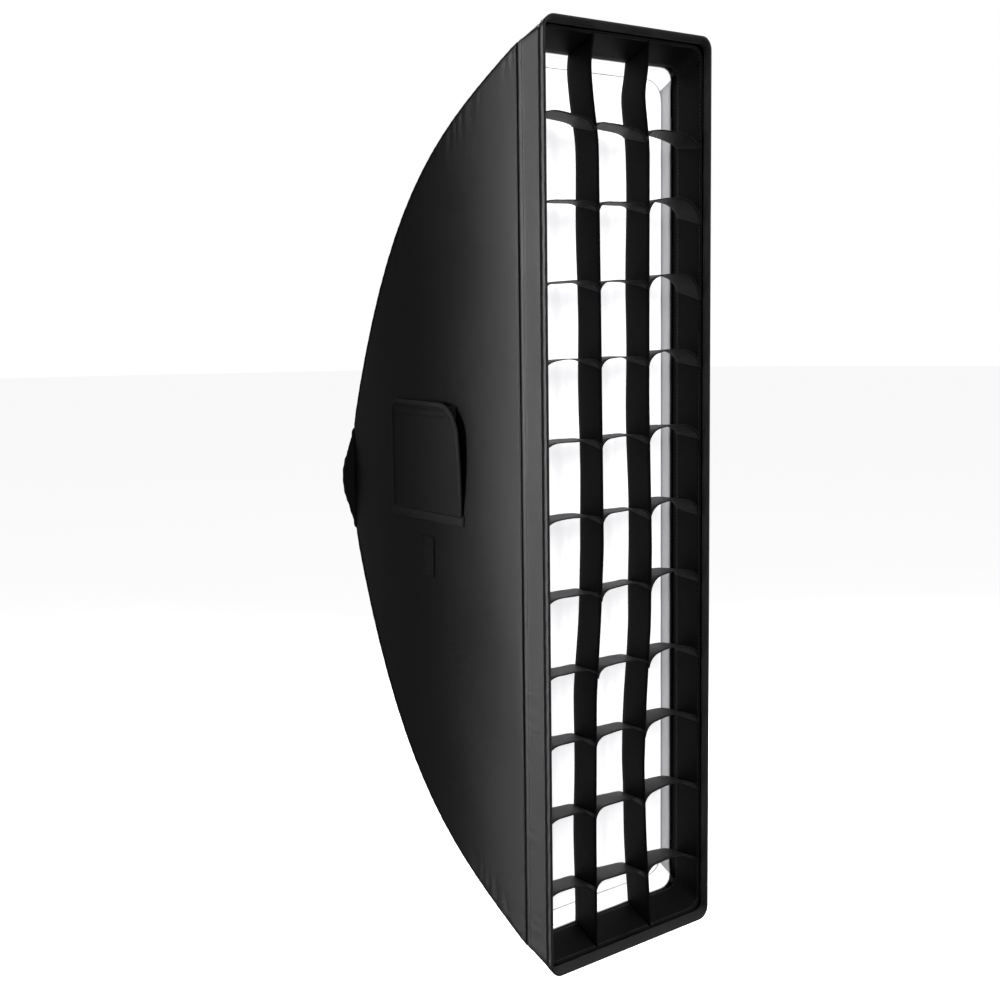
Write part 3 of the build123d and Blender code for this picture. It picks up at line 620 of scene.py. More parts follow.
def white_cloth(name, dark, light, painted_glow):
    """Thin white nylon: fine grid weave and faint creases, with a painted glow: it emits light in its own
    colour at the given strength, standing in for light shining through it from behind, though no lamp is
    there.
    """
    paint = Paint(name)
    weave = paint.weave(0.7 * MM)
    haze = paint.noise(5.0, 3.0, 0.5)
    colour = paint.ramp(haze * 0.8 + weave * 0.2, (0.25, grey(dark)), (0.7, grey(light)))
    folds = paint.bump(paint.noise(14.0, 4.0, 0.5, 0.8), 1.6 * MM, 0.25)
    normal = paint.bump(weave, 0.12 * MM, 0.6, folds)
    paint.surface(Base_Color=colour, Roughness=0.62, Normal=normal)
    # Painted glow: the cloth emits light in its own colour, though it is no lamp.
    paint.surface(Emission_Color=colour, Emission_Strength=painted_glow)
    return paint.surface(Sheen_Weight=0.15, Sheen_Roughness=0.4)


def scuffed(name, tones, scuffs, grain, gloss, bump):
    """Black paint or plastic with a fine grain, paler and duller where it is scuffed. scuffs
    and grain set a noise, and tones are (value of the scuffs, grey)."""
    paint = Paint(name)
    marks = paint.noise(*scuffs)
    colour = paint.ramp(marks, *[(at, grey(tone)) for at, tone in tones])
    normal = paint.bump(paint.noise(*grain), *bump)
    return paint.surface(Base_Color=colour, Roughness=marks * gloss[0] + gloss[1], Normal=normal)


def metal(name, dark, light, roughness, ring_pitch=0.0, streak=None):
    """Turned metal shows rings about the box's axis, and drawn metal shows long streaks."""
    paint = Paint(name)
    where = paint.place()
    if ring_pitch:
        x, _, z = paint.split(where)
        lines = (x.maths("POWER", 2.0) + z.maths("POWER", 2.0)).maths("SQRT").wave(ring_pitch)
    else:
        stretched = paint.add("Mapping", {"Vector": where, "Scale": streak})
        lines = paint.noise(1.0, 4.0, 0.6, where=stretched)
    stain = paint.noise(55.0, 5.0, 0.65)
    scratches = paint.noise(420.0, 2.0, 0.6, 2.0)
    colour = paint.ramp(stain * 0.7 + scratches * 0.3, (0.3, dark), (0.7, light))
    normal = paint.bump(lines, 0.03 * MM, 0.6, paint.bump(scratches, 0.03 * MM, 0.4))
    gloss = stain * 0.22 + (roughness - 0.1)
    return paint.surface(Base_Color=colour, Metallic=1.0, Roughness=gloss, Normal=normal)


def twisted_thread():
    """Sewing thread with a fine twist."""
    paint = Paint("thread")
    x, y, z = paint.split(paint.place())
    colour = paint.ramp(paint.noise(2000.0, 2.0, 0.6), (0.3, grey(0.012)), (0.7, grey(0.05)))
    normal = paint.bump((x + y + z).wave(0.6 * MM), 0.08 * MM, 0.6)
    return paint.surface(Base_Color=colour, Roughness=0.55, Normal=normal, Sheen_Weight=0.3)


def pale_floor():
    """Floor that is nearly as white as the surround."""
    paint = Paint("pale_floor")
    colour = paint.ramp(paint.noise(3.0, 4.0, 0.5), (0.3, (0.86, 0.86, 0.86, 1)), (0.7, (0.9, 0.9, 0.9, 1)))
    paint.surface(Base_Color=colour, Roughness=0.9)
    return paint.surface(Emission_Color=(1, 1, 1, 1), Emission_Strength=0.87)


WEAVE = 0.62 * MM
GRID_WEAVE = 0.55 * MM
shell_cloth = woven("shell_cloth", 0.007, 0.014, WEAVE, 0.03 * MM, 0.33)
flap_cloth = woven("flap_cloth", 0.014, 0.028, WEAVE, 0.14 * MM, 0.48)
# Painted shade: the lip's inner face uses a darker, duller copy of the black nylon, standing in for the
# shade inside the recess.
shaded_lip_lining = woven("shaded_lip_lining", 0.003, 0.007, WEAVE, 0.14 * MM, 0.60, specular=0.05)
# Painted shade: the uprights and the band use a darker, duller copy of the grid's cloth than the level
# strips, standing in for the shade inside the recess.
shaded_grid_cloth = woven("shaded_grid_cloth", 0.003, 0.008, GRID_WEAVE, 0.12 * MM, 0.55, 0.4, 0.06)
level_cloth = woven("grid_level_cloth", 0.006, 0.014, GRID_WEAVE, 0.12 * MM, 0.50, 0.5, 0.14)
silver = silver_lining()
binding_tape = ribbed_tape("binding_tape", 0.007, 0.020, 1.3 * MM)
flap_tape = ribbed_tape("flap_tape", 0.034, 0.085, 1.3 * MM, 0.5)
strap_tape = ribbed_tape("strap_tape", 0.006, 0.016, 1.8 * MM, 0.55)
elastic_tape = ribbed_tape("elastic_tape", 0.006, 0.022, 1.0 * MM, 0.7)
loop_tape = loop_pile()
hook_tape = hook_field()
# Painted light: the face cloth glows strongly, standing in for light shining through the diffuser. The hem
# cloth is a darker, shaded copy of the same white nylon with a faint glow, painted shade for the hem's side
# walls, its seam cord and its stitches.
glowing_face_cloth = white_cloth("diffuser_glowing_cloth", 0.86, 0.93, 0.80)
shaded_hem_cloth = white_cloth("diffuser_shaded_hem_cloth", 0.56, 0.64, 0.08)
baffle_cloth = white_cloth("baffle_cloth", 0.80, 0.88, 0.0)
coat = scuffed(
    "powder_coat", tones=((0.45, 0.018), (0.72, 0.035), (0.80, 0.09)), scuffs=(90.0, 6.0, 0.7, 0.5),
    grain=(1700.0, 2.0, 0.5), gloss=(0.3, 0.28), bump=(0.12 * MM, 0.5),
)
plastic = scuffed(
    "moulded_plastic", tones=((0.4, 0.012), (0.7, 0.022), (0.82, 0.06)), scuffs=(130.0, 5.0, 0.7),
    grain=(2400.0, 3.0, 0.6), gloss=(0.25, 0.38), bump=(0.1 * MM, 0.6),
)
turned_aluminium = metal(
    "turned_aluminium", (0.60, 0.61, 0.63, 1), (0.76, 0.77, 0.79, 1), 0.30, ring_pitch=0.5 * MM
)
zinc_steel = metal("zinc_steel", (0.48, 0.48, 0.47, 1), (0.66, 0.66, 0.64, 1), 0.34, streak=(900, 900, 900))
spring_steel = metal(
    "spring_steel", (0.36, 0.36, 0.37, 1), (0.52, 0.52, 0.54, 1), 0.36, streak=(900, 12, 12)
)
thread = twisted_thread()


def add_wear(obj, share):
    """Stores how rubbed each point of a sheet is, 0 to 1."""
    attribute = obj.data.attributes.new("wear", "FLOAT", "POINT")
    attribute.data.foreach_set("value", np.asarray(share, np.float32).ravel())


# ---- fabric shell -----------------------------------------------------------------------------
PANEL_ROWS = 128
SEAM_GAP = 0.4 * MM
SEAM_DIP = 0.35 * MM
PIPING_RADIUS = 1.25 * MM
PIPING_RISE = (-0.6 * MM, 2.4 * MM)
STITCH_INSET = 5 * MM
# The panel lies flat where the flap, its tapes and the strap are sewn to it.
SEWN_ZONE = (FLAP_FRONT, FLAP_BACK, STRAP_FOOT, FLAP_TOP)


def clustered(count, cluster=0.6):
    """Shares from -1 to 1, closer together near the ends."""
    share = np.linspace(-1, 1, count)
    return cluster * np.sin(share * math.pi / 2) + (1 - cluster) * share


def panel_swell(depth, share, seed):
    """Slack of the cloth between the rods: broad soft waves, nothing at the seams."""
    wave = np.sin(depth / 0.075 + seed) * np.cos(share * 5.1 + seed)
    wave = wave + 0.6 * np.sin(depth / 0.041 - share * 7.3 + 2 * seed)
    return 0.45 * MM * (1 - share**4) * wave


def seam_relief(depth, across, height, seed):
    """At the front seam the panels gather, and start a little sunk behind the lip's fold."""
    dip = SEAM_DIP * np.exp(-((depth - SEAM_DEPTH) / (2.2 * MM)))
    return pucker(depth - SEAM_DEPTH, across, height, 6 * MM, seed) - dip


def finish_panel(name, points, node, keep=None):
    obj = lattice(name, points, [shell_cloth, silver], keep=keep)
    place(thicken(obj, CLOTH, lined=True), "box", [node])
    area_of(points)


def panel_grid(columns, half):
    """Depths, places across and shares across of a panel's points."""
    depth = np.linspace(SEAM_DEPTH + SEAM_GAP, BACK_DEPTH, PANEL_ROWS)[:, None]
    depth, share = np.broadcast_arrays(depth, clustered(columns))
    return depth, share * half(depth), share


def make_side_panel(side, name, node, window=None):
    """Long panel on the left (-1) or right (+1), with a hole where it has a window."""
    depth, z, _ = panel_grid(150, half_height)
    keep = None
    if window:
        depth, z, keep = cut_lattice(depth, z, window, WINDOW_RADIUS, inside_box=False)
    top = half_height(depth)
    out = pucker(top - np.abs(z), depth, seed=side + np.sign(z)) + panel_swell(depth, z / top, 1.3 * side)
    if window:
        out = out * np.clip(rounded_distance(depth, z, SEWN_ZONE, 30 * MM) / (45 * MM), 0, 1)
    out = out + seam_relief(depth, z, 0.16 * MM, 0.4)
    finish_panel(name, side_wall(side, depth, z, out), node, keep)


def make_end_panel(side, name, node):
    """Narrow panel at the bottom (-1) or top (+1)."""
    depth, x, share = panel_grid(52, half_width)
    edge = half_width(depth) - np.abs(x)
    out = pucker(edge, depth, seed=2 * side) + panel_swell(depth, share, 0.7 * side)
    points = end_wall(side, depth, x, out + seam_relief(depth, x, 0.2 * MM, 1.4))
    flat = (2 * HALF_WIDTH, run_lengths(points, 0, False)[-1] * 1.02)
    finish_panel(name, points, node)


def make_piping(side_x, side_z, place_name):
    """Round piping over the seam between two panels, with a row of stitches each side of it."""
    back = BACK_DEPTH - 1 * MM
    depth = np.linspace(SEAM_DEPTH, back, round((back - SEAM_DEPTH) / (3 * MM)) + 1)
    rise = np.linspace(*PIPING_RISE, len(depth))
    x = side_x * (half_width(depth) + PIPING_RISE[0])
    path = xyz(x, RIM_Y + depth, side_z * (half_height(depth) + rise))
    step = np.arange(len(path))
    swell = 1 + 0.10 * np.sin(step * 1.9) + 0.06 * np.sin(step * 0.73)
    swell = swell * np.minimum(1, 0.35 + 0.16 * np.minimum(step, step[::-1]))
    profile = round_profile(PIPING_RADIUS) * swell[:, None, None]
    obj = sweep(f"piping_{place_name}", path, (side_x, 0, side_z), profile, binding_tape)
    place(obj, "box", [f"corner_piping_{place_name}"])
    depth = np.linspace(SEAM_DEPTH + 3 * MM, BACK_DEPTH - 5 * MM, 140)
    z = side_z * (half_height(depth) - STITCH_INSET)
    x = side_x * (half_width(depth) - STITCH_INSET)
    row = {"slot": "black_fabric", "pitch": 4.6 * MM}
    sew(f"{place_name}_side", side_wall(side_x, depth, z, 0.1 * MM), (side_x, 0, 0), **row)
    sew(f"{place_name}_end", end_wall(side_z, depth, x, 0.1 * MM), (0, 0, side_z), **row)


def lip_ring(depth, inset, pitch, corner_inset=None):
    """Ring round the lip, whose corners get tighter from the rim to the seam. They also get
    tighter by the inset, or by corner_inset where that is given."""
    radius = RIM_RADIUS + (SEAM_RADIUS - RIM_RADIUS) * min(depth / SEAM_DEPTH, 1.0)
    return frame_ring(depth, inset, radius - (inset if corner_inset is None else corner_inset), pitch)


def lip_rings(section, pitch):
    """Rings through the (depth, inset) points of a section, and their depths as a column."""
    section = np.array(section) * MM
    return np.stack([lip_ring(d, i, pitch) for d, i in section]), section[:, :1]


def make_lip():
    """Front band, with a padded ridge where its back edge is folded over the seam."""
    section = [(2.0, 0.15), (6.0, 0.0), (14.0, 0.05), (26.0, 0.1), (38.0, 0.05), (43.0, 0.0)]
    section += [(45.0, -0.25), (47.0, -0.5), (49.0, -0.6), (50.6, -0.45), (51.6, 0.0), (52.2, 0.6)]
    rings, depth = lip_rings(section, 3.5 * MM)
    ridge = rings[6]
    wave = pucker(np.maximum(SEAM_DEPTH - depth, 0), ring_run(ridge)[0], 0.16 * MM, 7 * MM, 0.8)
    points = rings + outward(ridge) * wave[..., None]
    obj = lattice("lip", points, [shell_cloth, shaded_lip_lining], closed=(False, True))
    place(thicken(obj, CLOTH, lined=True), "box", ["front_lip"])
    ring_run(rings[0])[1]
    area_of(points)
    for name, at, inset in (("lip_seam_front", 43.5, -0.1), ("lip_seam_rear", 56.5, -0.05)):
        ring = lip_ring(at * MM, inset * MM, 6 * MM, 0)
        sew(name, ring, outward(ring), slot="black_fabric", pitch=4.4 * MM, closed=True)


def faces_out(polygon):
    """True on the outer side of the rim, where the tape is cut from the lip's cloth."""
    normal, centre = polygon.normal, polygon.center
    outer = normal.x * centre.x + normal.z * centre.z > 0
    return outer and abs(normal.y) < 0.6 and centre.y > RIM_Y + 0.4 * MM


def make_rim_binding():
    """Rolled tape folded over the front edge of the lip, with a row of stitches each side."""
    section = [(12.0, 0.1), (12.0, -0.15), (6.0, -0.3), (1.8, -0.3), (0.5, 0.1), (0.0, 0.8)]
    section += [(0.0, 1.8), (0.5, 2.7), (1.8, 3.2), (5.5, 3.4), (9.0, 3.4), (11.4, 3.3), (11.5, 1.1)]
    rings, depth = lip_rings(section, 4.5 * MM)
    run = ring_run(rings[0])[0]
    ripple = 0.22 * MM * np.sin(run / 0.0052) * np.exp(-(((depth - 8 * MM) / (5 * MM)) ** 2))
    side = [[1.0] if inset < 1.2 else [-1.0] for _, inset in section]
    points = rings + outward(rings[0]) * (ripple * side)[..., None]
    obj = tubes("rim_tape", [points], [binding_tape, shell_cloth], closed=True)
    for polygon in obj.data.polygons:
        polygon.material_index = int(faces_out(polygon))
    place(obj, "box", ["rim_binding"])
    for name, at, inset, sign in (("rim_outer", 9.6, -0.3, 1), ("rim_inner", 9.0, 3.5, -1)):
        ring = lip_ring(at * MM, inset * MM, 6 * MM)
        sew(name, ring, sign * outward(ring), pitch=4.2 * MM, closed=True)


make_side_panel(-1, "left_panel", "side_panel_left", WINDOW)
make_side_panel(1, "right_panel", "side_panel_right")
make_end_panel(1, "upper_panel", "top_panel")
make_end_panel(-1, "lower_panel", "bottom_panel")
for seam in SEAMS:
    make_piping(*seam)
make_lip()
make_rim_binding()


# ---- diffuser ---------------------------------------------------------------------------------
END_HEM = 9 * MM
NYLON = 0.5 * MM
CORD_RADIUS = 0.7 * MM
TAPE_ROWS = 7


def flat_sheet(name, box, radius, y, material, pitch, relief):
    """Sheet across the box, cut to a rounded rectangle (x0, x1, z0, z1)."""
    a = np.linspace(box[0], box[1], round((box[1] - box[0]) / pitch) + 1)
    b = np.linspace(box[2], box[3], round((box[3] - box[2]) / pitch) + 1)
    a, b = np.meshgrid(a, b, indexing="ij")
    edge = np.maximum(-rounded_distance(a, b, box, radius), 0)
    a, b, keep = cut_lattice(a, b, box, radius, inside_box=True)
    return lattice(name, xyz(a, y + relief(a, b, edge), b), [material], keep=keep, centre=(0, 10, 0))


def face_relief(x, z, edge):
    """Soft pulls from the edge and a slight slack in the middle of the white face."""
    pull = np.sin((x + z) / 0.021) * np.exp(-edge / 0.02)
    slack = np.sin(z / 0.11 + 0.8) * (1 - np.exp(-edge / 0.05))
    return 0.5 * MM * pull + 0.9 * MM * slack


def hem_ring(depth, inset, share=None):
    """Ring in the turned edge, which is deeper at the top and bottom towards its front."""
    if share is None:
        share = max((FACE_DEPTH - depth) / (FACE_DEPTH - HEM_FRONT), 0)
    return frame_ring(depth, SOFT_INSET + inset, DIFFUSER_RADIUS - inset, 6 * MM, depth - END_HEM * share)


def make_diffuser():
    """White face, its edge turned forward along the walls, and the seam between the two."""
    half_x = inside(half_width, FACE_DEPTH, SOFT_INSET)
    half_z = inside(half_height, FACE_DEPTH, SOFT_INSET)
    box = (-half_x, half_x, -half_z, half_z)
    face_y = RIM_Y + FACE_DEPTH
    face = flat_sheet("diffuser_face", box, DIFFUSER_RADIUS, face_y, glowing_face_cloth, 7 * MM, face_relief)
    place(thicken(face, NYLON), "diffuser", ["front_diffuser"])
    front, back = HEM_FRONT / MM, FACE_DEPTH / MM
    section = [(front, 0.0), (front + 0.3, 0.8), (front + 2.5, 0.95), (front + 3.2, 0.55)]
    section += [(back - 1, 0.5), (back + 0.6, 0.3)]
    rings = np.stack([hem_ring(d * MM, i * MM) for d, i in section])
    hem = lattice("diffuser_edge", rings, [shaded_hem_cloth, glowing_face_cloth], closed=(False, True))
    # Painted shade: the hem's side walls take the darker shaded cloth, while its top and bottom take the
    # glowing face cloth.
    for polygon in hem.data.polygons:
        polygon.material_index = int(abs(polygon.normal.z) > 0.5)
    place(thicken(hem, NYLON, offset=1.0), "diffuser")
    around = ring_run(hem_ring(FACE_DEPTH, 0))[1]
    area = 4 * half_x * half_z * 0.995
    2 * half_x
    2 * half_z
    ring = hem_ring(FACE_DEPTH - 0.4 * MM, 1.1 * MM, 0)
    cord = sweep("diffuser_seam", ring, outward(ring), round_profile(CORD_RADIUS, 8), shaded_hem_cloth, closed=True)
    place(cord, "diffuser")
    depth = HEM_FRONT + 2.8 * MM
    inset, radius = SOFT_INSET + 0.9 * MM, DIFFUSER_RADIUS - 1 * MM
    ring = frame_ring(depth, inset, radius, 6 * MM, depth - END_HEM * 0.8)
    row = {"pitch": 4.5 * MM, "closed": True, "material": shaded_hem_cloth}
    sew("diffuser_edge", ring, -outward(ring), "diffuser", "white_diffuser", **row)


def wall_tapes(name, node, body, material, inset, thickness, margin):
    """Four flat tapes, one on each wall, that end before the corners."""
    front, back = depths(node)
    depth = np.linspace(front + 0.5 * MM, back - 0.5 * MM, TAPE_ROWS)
    rounding = np.zeros(TAPE_ROWS)
    rounding[[0, -1]] = 0.25 * thickness
    pieces = []
    for wall, across, sign in (
        (side_wall, half_height, 1), (side_wall, half_height, -1),
        (end_wall, half_width, 1), (end_wall, half_width, -1),
    ):
        half = across(depth[-1]) - margin
        run = np.linspace(-half, half, max(8, round(2 * half / (12 * MM))))
        raised = thickness * (1 + 0.12 * np.sin(run / 0.017))
        loop = [wall(sign, d, run, -inset) for d in depth]
        loop += [wall(sign, d, run, r - inset - raised) for d, r in zip(depth[::-1], rounding)]
        pieces.append(np.stack(loop, axis=1))
    place(tubes(name, pieces, [material]), body, [node])


make_diffuser()
for part, corner_margin in (("diffuser", 55 * MM), ("grid", 50 * MM)):
    wall_tapes(f"{part}_loops", f"{part}_loop_tape", "box", loop_tape, 1.25 * MM, 1.4 * MM, corner_margin)
    wall_tapes(f"{part}_hooks", f"{part}_hook_tape", part, hook_tape, 2.95 * MM, 1.0 * MM, corner_margin)


# ---- egg-crate grid -----------------------------------------------------------------------------
ROWS = sorted(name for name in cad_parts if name.startswith("grid_horizontal"))
COLUMNS = sorted(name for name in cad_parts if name.startswith("grid_vertical"))
STRIP_INSET = SOFT_INSET + 1.1 * MM
STRIP = 1.0 * MM
STRIP_DEPTHS = np.linspace(GRID_FRONT, GRID_BACK, 9)[None, :]
FORWARD = (GRID_BACK - STRIP_DEPTHS) / (GRID_BACK - GRID_FRONT)

# How far each upright strip leans to the side at a height, both in mm.
LEANS = (
    [(592, -4), (549, -12), (504, -7), (457, 1), (236, 4), (-55, 7), (-152, 1), (-249, -7),
     (-435, -9), (-592, -8)],
    [(592, -4), (549, -8), (520, -14), (457, -5), (136, -6), (-66, -1), (-166, -3), (-266, -11),
     (-361, -16), (-458, -12), (-543, -6), (-592, -4)],
)

# For each level strip from the top, in mm: how far it hangs below its slots, how much
# lower its right end lies than its left, and how far it curls down at the right wall.
ROW_HANG = (1, 10, 12, 10, 13, 12, 13, 13, 7, 5, 2)
RIGHT_SLANT = (26, 0, -4, 0, 0, 3, 1, 8, 10, 11, 22)
RIGHT_FALL = (5, 23, 27, 17, 12, 17, 11, 12, 10, 9, 8)
CELL_CROWN = (1.0, 2.0, 9.0)
FRONT_DROP = 13.0
BACK_DROP = 3.0
CURL_REACH = 17.0
WALL_REACH = 30.0


def eased(z, stops):
    """Smooth curve through chosen (height, value) stops, in mm."""
    heights_at, values = np.array(sorted(stops)).T * MM
    near = np.linspace(-26 * MM, 26 * MM, 13)
    weights = np.exp(-((near / (13 * MM)) ** 2))
    samples = [w * np.interp(z + n, heights_at, values) for n, w in zip(near, weights)]
    return sum(samples) / weights.sum()


def column_x(k, z):
    """Where an upright strip is, sideways, at a height."""
    low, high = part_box(COLUMNS[k])
    return (low.x + high.x) / 2 + eased(z, LEANS[k])


def finish_strip(obj, node):
    """Wear along both edges, and thickness."""
    edge = np.minimum(STRIP_DEPTHS - GRID_FRONT, GRID_BACK - STRIP_DEPTHS)
    rows = len(obj.data.vertices) // edge.size
    add_wear(obj, np.tile(np.exp(-edge / (2 * MM)), (rows, 1)))
    place(thicken(obj, STRIP, offset=0.0), "grid", [node])


def make_upright(k):
    """Upright strip, leaning as chosen, with soft ripples."""
    top = inside(half_height, STRIP_DEPTHS, STRIP_INSET)
    z = np.linspace(-1, 1, 241)[:, None] * top
    ripple = 1.1 * MM * np.sin(z / 0.0312 + 1.7 * k) * np.sin((STRIP_DEPTHS - GRID_FRONT) / 0.042 * 2.2)
    points = xyz(column_x(k, z) + ripple, RIM_Y + STRIP_DEPTHS, z)
    obj = lattice(f"grid_upright_{k + 1}", points, [shaded_grid_cloth], centre=(10, 0, 0))
    finish_strip(obj, COLUMNS[k])


def curl(distance, reach):
    """Share of the drop at a distance from a support: a quarter circle."""
    u = np.clip(1 - distance / reach, 0, 1)
    return 1 - np.sqrt(1 - u * u)


def make_level(i):
    """Level strip: three cells that sag between the uprights and curl down at their ends."""
    low, high = heights(ROWS[i])
    middle = (low + high) / 2
    wall = inside(half_width, STRIP_DEPTHS, STRIP_INSET)
    stops = [-wall, column_x(0, middle), column_x(1, middle), wall]
    u = (1 - np.cos(np.linspace(0, math.pi, 25)))[:, None] / 2
    drop = (BACK_DROP + (FRONT_DROP - BACK_DROP) * FORWARD) * MM
    wobble = rng.uniform(-1.0, 1.0, (3, 3))
    strips = []
    for cell, (start, stop) in enumerate(zip(stops, stops[1:])):
        x = start + (stop - start) * u
        from_left, from_right = (x - start) / MM, (stop - x) / MM
        fall = drop * curl(from_left, WALL_REACH * 0.8 if cell == 0 else CURL_REACH)
        if cell < 2:
            fall = fall + drop * curl(from_right, CURL_REACH)
        else:
            fall = fall + RIGHT_FALL[i] * MM * (0.55 + 0.45 * FORWARD) * curl(from_right, WALL_REACH)
        crown = (CELL_CROWN[cell] + 1.2 * wobble[cell, 0]) * MM * np.sin(math.pi * u) ** 0.7
        tilt = (1.5 + 1.5 * wobble[cell, 1]) * MM * (FORWARD - 0.5) * np.sin(math.pi * u)
        ripple = 0.6 * MM * np.sin(x / 0.009 + 3 * wobble[cell, 2]) * (FORWARD - 0.4)
        slant = RIGHT_SLANT[i] * MM * (x + wall) / (2 * wall)
        z = middle - ROW_HANG[i] * MM + crown + tilt + ripple - fall - slant
        points = xyz(x, RIM_Y + STRIP_DEPTHS, z)
        strips.append(points[min(cell, 1):])
    obj = lattice(f"grid_level_{i + 1:02d}", np.concatenate(strips), [level_cloth], centre=(0, 0, -10))
    finish_strip(obj, ROWS[i])


def make_grid_band():
    """Band that carries the strips round the inside of the lip, with a seam at each edge."""
    band_depths = np.linspace(GRID_FRONT, GRID_BACK, 8)
    rings = np.stack([frame_ring(d, SOFT_INSET, GRID_RADIUS, 5 * MM) for d in band_depths])
    run, around = ring_run(rings[0])
    front = np.exp(-(band_depths - GRID_FRONT) / (18 * MM))[:, None]
    wave = 0.5 * MM * (np.sin(run / 0.031) + 0.6 * np.sin(run / 0.0127 + 1.1)) * front
    points = rings - outward(rings[0]) * np.maximum(wave, 0)[..., None]
    obj = lattice("grid_edge_band", points, [shaded_grid_cloth], closed=(False, True))
    add_wear(obj, np.broadcast_to(front**4, points.shape[:2]))
    place(thicken(obj, STRIP), "grid", ["grid_band"])
    inset = 1.15 * MM
    for name, depth in (("front", GRID_FRONT + 3 * MM), ("back", GRID_BACK - 3 * MM)):
        ring = frame_ring(depth, SOFT_INSET + inset, GRID_RADIUS - inset, 6 * MM)
        sew(f"grid_{name}", ring, -outward(ring), "grid", "grid_fabric", pitch=4.8 * MM, closed=True)


make_grid_band()
for column in range(len(COLUMNS)):
    make_upright(column)
for row_index in range(len(ROWS)):
    make_level(row_index)


# ---- access window, flap, hem tape and keeper strap --------------------------------------------
FLAP_CLOTH = 0.9 * MM
FLAP_OUT = 1.7 * MM
FLAP_LIFT = 7.0 * MM
FLAP_BOW = 6.0 * MM
FACING_ROWS = (9.0 * MM, 13.5 * MM, 19.0 * MM)
STRAP_THICKNESS = 0.9 * MM
STRAP_STITCH_INSET = 2 * MM


def flap_point(depth, z, extra=0.0):
    """The flap lies on the wall at its foot and stands off it towards its front top corner."""
    up = np.clip((z - FLAP_FOOT) / (FLAP_TOP - FLAP_FOOT), 0, 1)
    front = np.clip((FLAP_BACK - depth) / (FLAP_BACK - FLAP_FRONT), 0, 1)
    lift = FLAP_LIFT * up**1.4 * front**1.6 + 2.6 * MM * np.sin(math.pi * up) * front**3
    lift = lift + 0.7 * MM * np.sin(depth / 0.024 + z / 0.031) * up * (1 - front) + 0.9 * MM * up
    return side_wall(-1, depth, z, FLAP_OUT + lift + extra)


def corner_cut(z, radius):
    """How far a round top corner takes the flap's edge in, at a height."""
    into = np.clip((z - (FLAP_TOP - radius)) / radius, 0, 1)
    return radius * (1 - np.sqrt(1 - into**2))


def flap_edges(z):
    """Depths of the flap's front and back edge at a height: bowed in front, rounded on top."""
    up = np.clip((z - FLAP_FOOT) / (FLAP_TOP - FLAP_FOOT), 0, 1)
    front = FLAP_FRONT - FLAP_BOW * np.sin(math.pi * up) + corner_cut(z, FLAP_FRONT_RADIUS)
    return front, FLAP_BACK - corner_cut(z, FLAP_RADIUS)


def edge_heights(foot, count, radius, steps):
    """Heights up an edge of the flap, closer together round its top corner."""
    low = np.linspace(foot, FLAP_TOP - FLAP_FRONT_RADIUS, count)[:-1]
    angle = np.linspace(0, math.pi / 2, steps)
    straight = FLAP_TOP - radius - (FLAP_FRONT_RADIUS - radius) * (1 - angle)
    straight = straight[straight < FLAP_TOP - radius]
    return np.concatenate([low, straight, FLAP_TOP - radius * (1 - np.sin(angle))])


def flap_outline(inset):
    """Line round the flap's two sides and top, from foot to foot, `inset` from its edge."""
    foot = FLAP_FOOT - 0.5 * MM
    front_z = edge_heights(foot, 40, FLAP_FRONT_RADIUS, 26)
    back_z = edge_heights(foot, 40, FLAP_RADIUS, 26)
    front, back = flap_edges(front_z)[0], flap_edges(back_z)[1]
    across = np.linspace(front[-1], back[-1], 34)[1:-1]
    depth = np.concatenate([front, across, back[::-1]])
    z = np.concatenate([front_z, np.full(len(across), FLAP_TOP), back_z[::-1]])
    along = unit(np.gradient(np.stack([depth, z], -1), axis=0))
    return depth + along[:, 1] * inset, z - along[:, 0] * inset


def fold_with_flap(obj, replaces=()):
    """Hides the parts it replaces, and bakes the piece's transform into its mesh."""
    if replaces:
        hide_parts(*replaces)
    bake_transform(obj)


def apply_modifiers(obj):
    """Bakes the modifiers into the mesh."""
    depsgraph = bpy.context.evaluated_depsgraph_get()
    mesh = bpy.data.meshes.new_from_object(obj.evaluated_get(depsgraph))
    obj.modifiers.clear()
    obj.data = mesh


def make_flap():
    """The flap's cloth, sewn down at its foot."""
    z = edge_heights(FLAP_FOOT - 1.5 * MM, 46, FLAP_FRONT_RADIUS, 18)[:, None]
    front, back = flap_edges(z)
    depth = front + (back - front) * np.linspace(0, 1, 56)
    points = flap_point(depth, z, 0.25 * MM * np.sin(z / 0.013) * np.sin(depth / 0.019))
    obj = thicken(lattice("flap_cloth", points, [flap_cloth]), FLAP_CLOTH, offset=0.0)
    apply_modifiers(obj)
    fold_with_flap(obj, ["access_flap"])


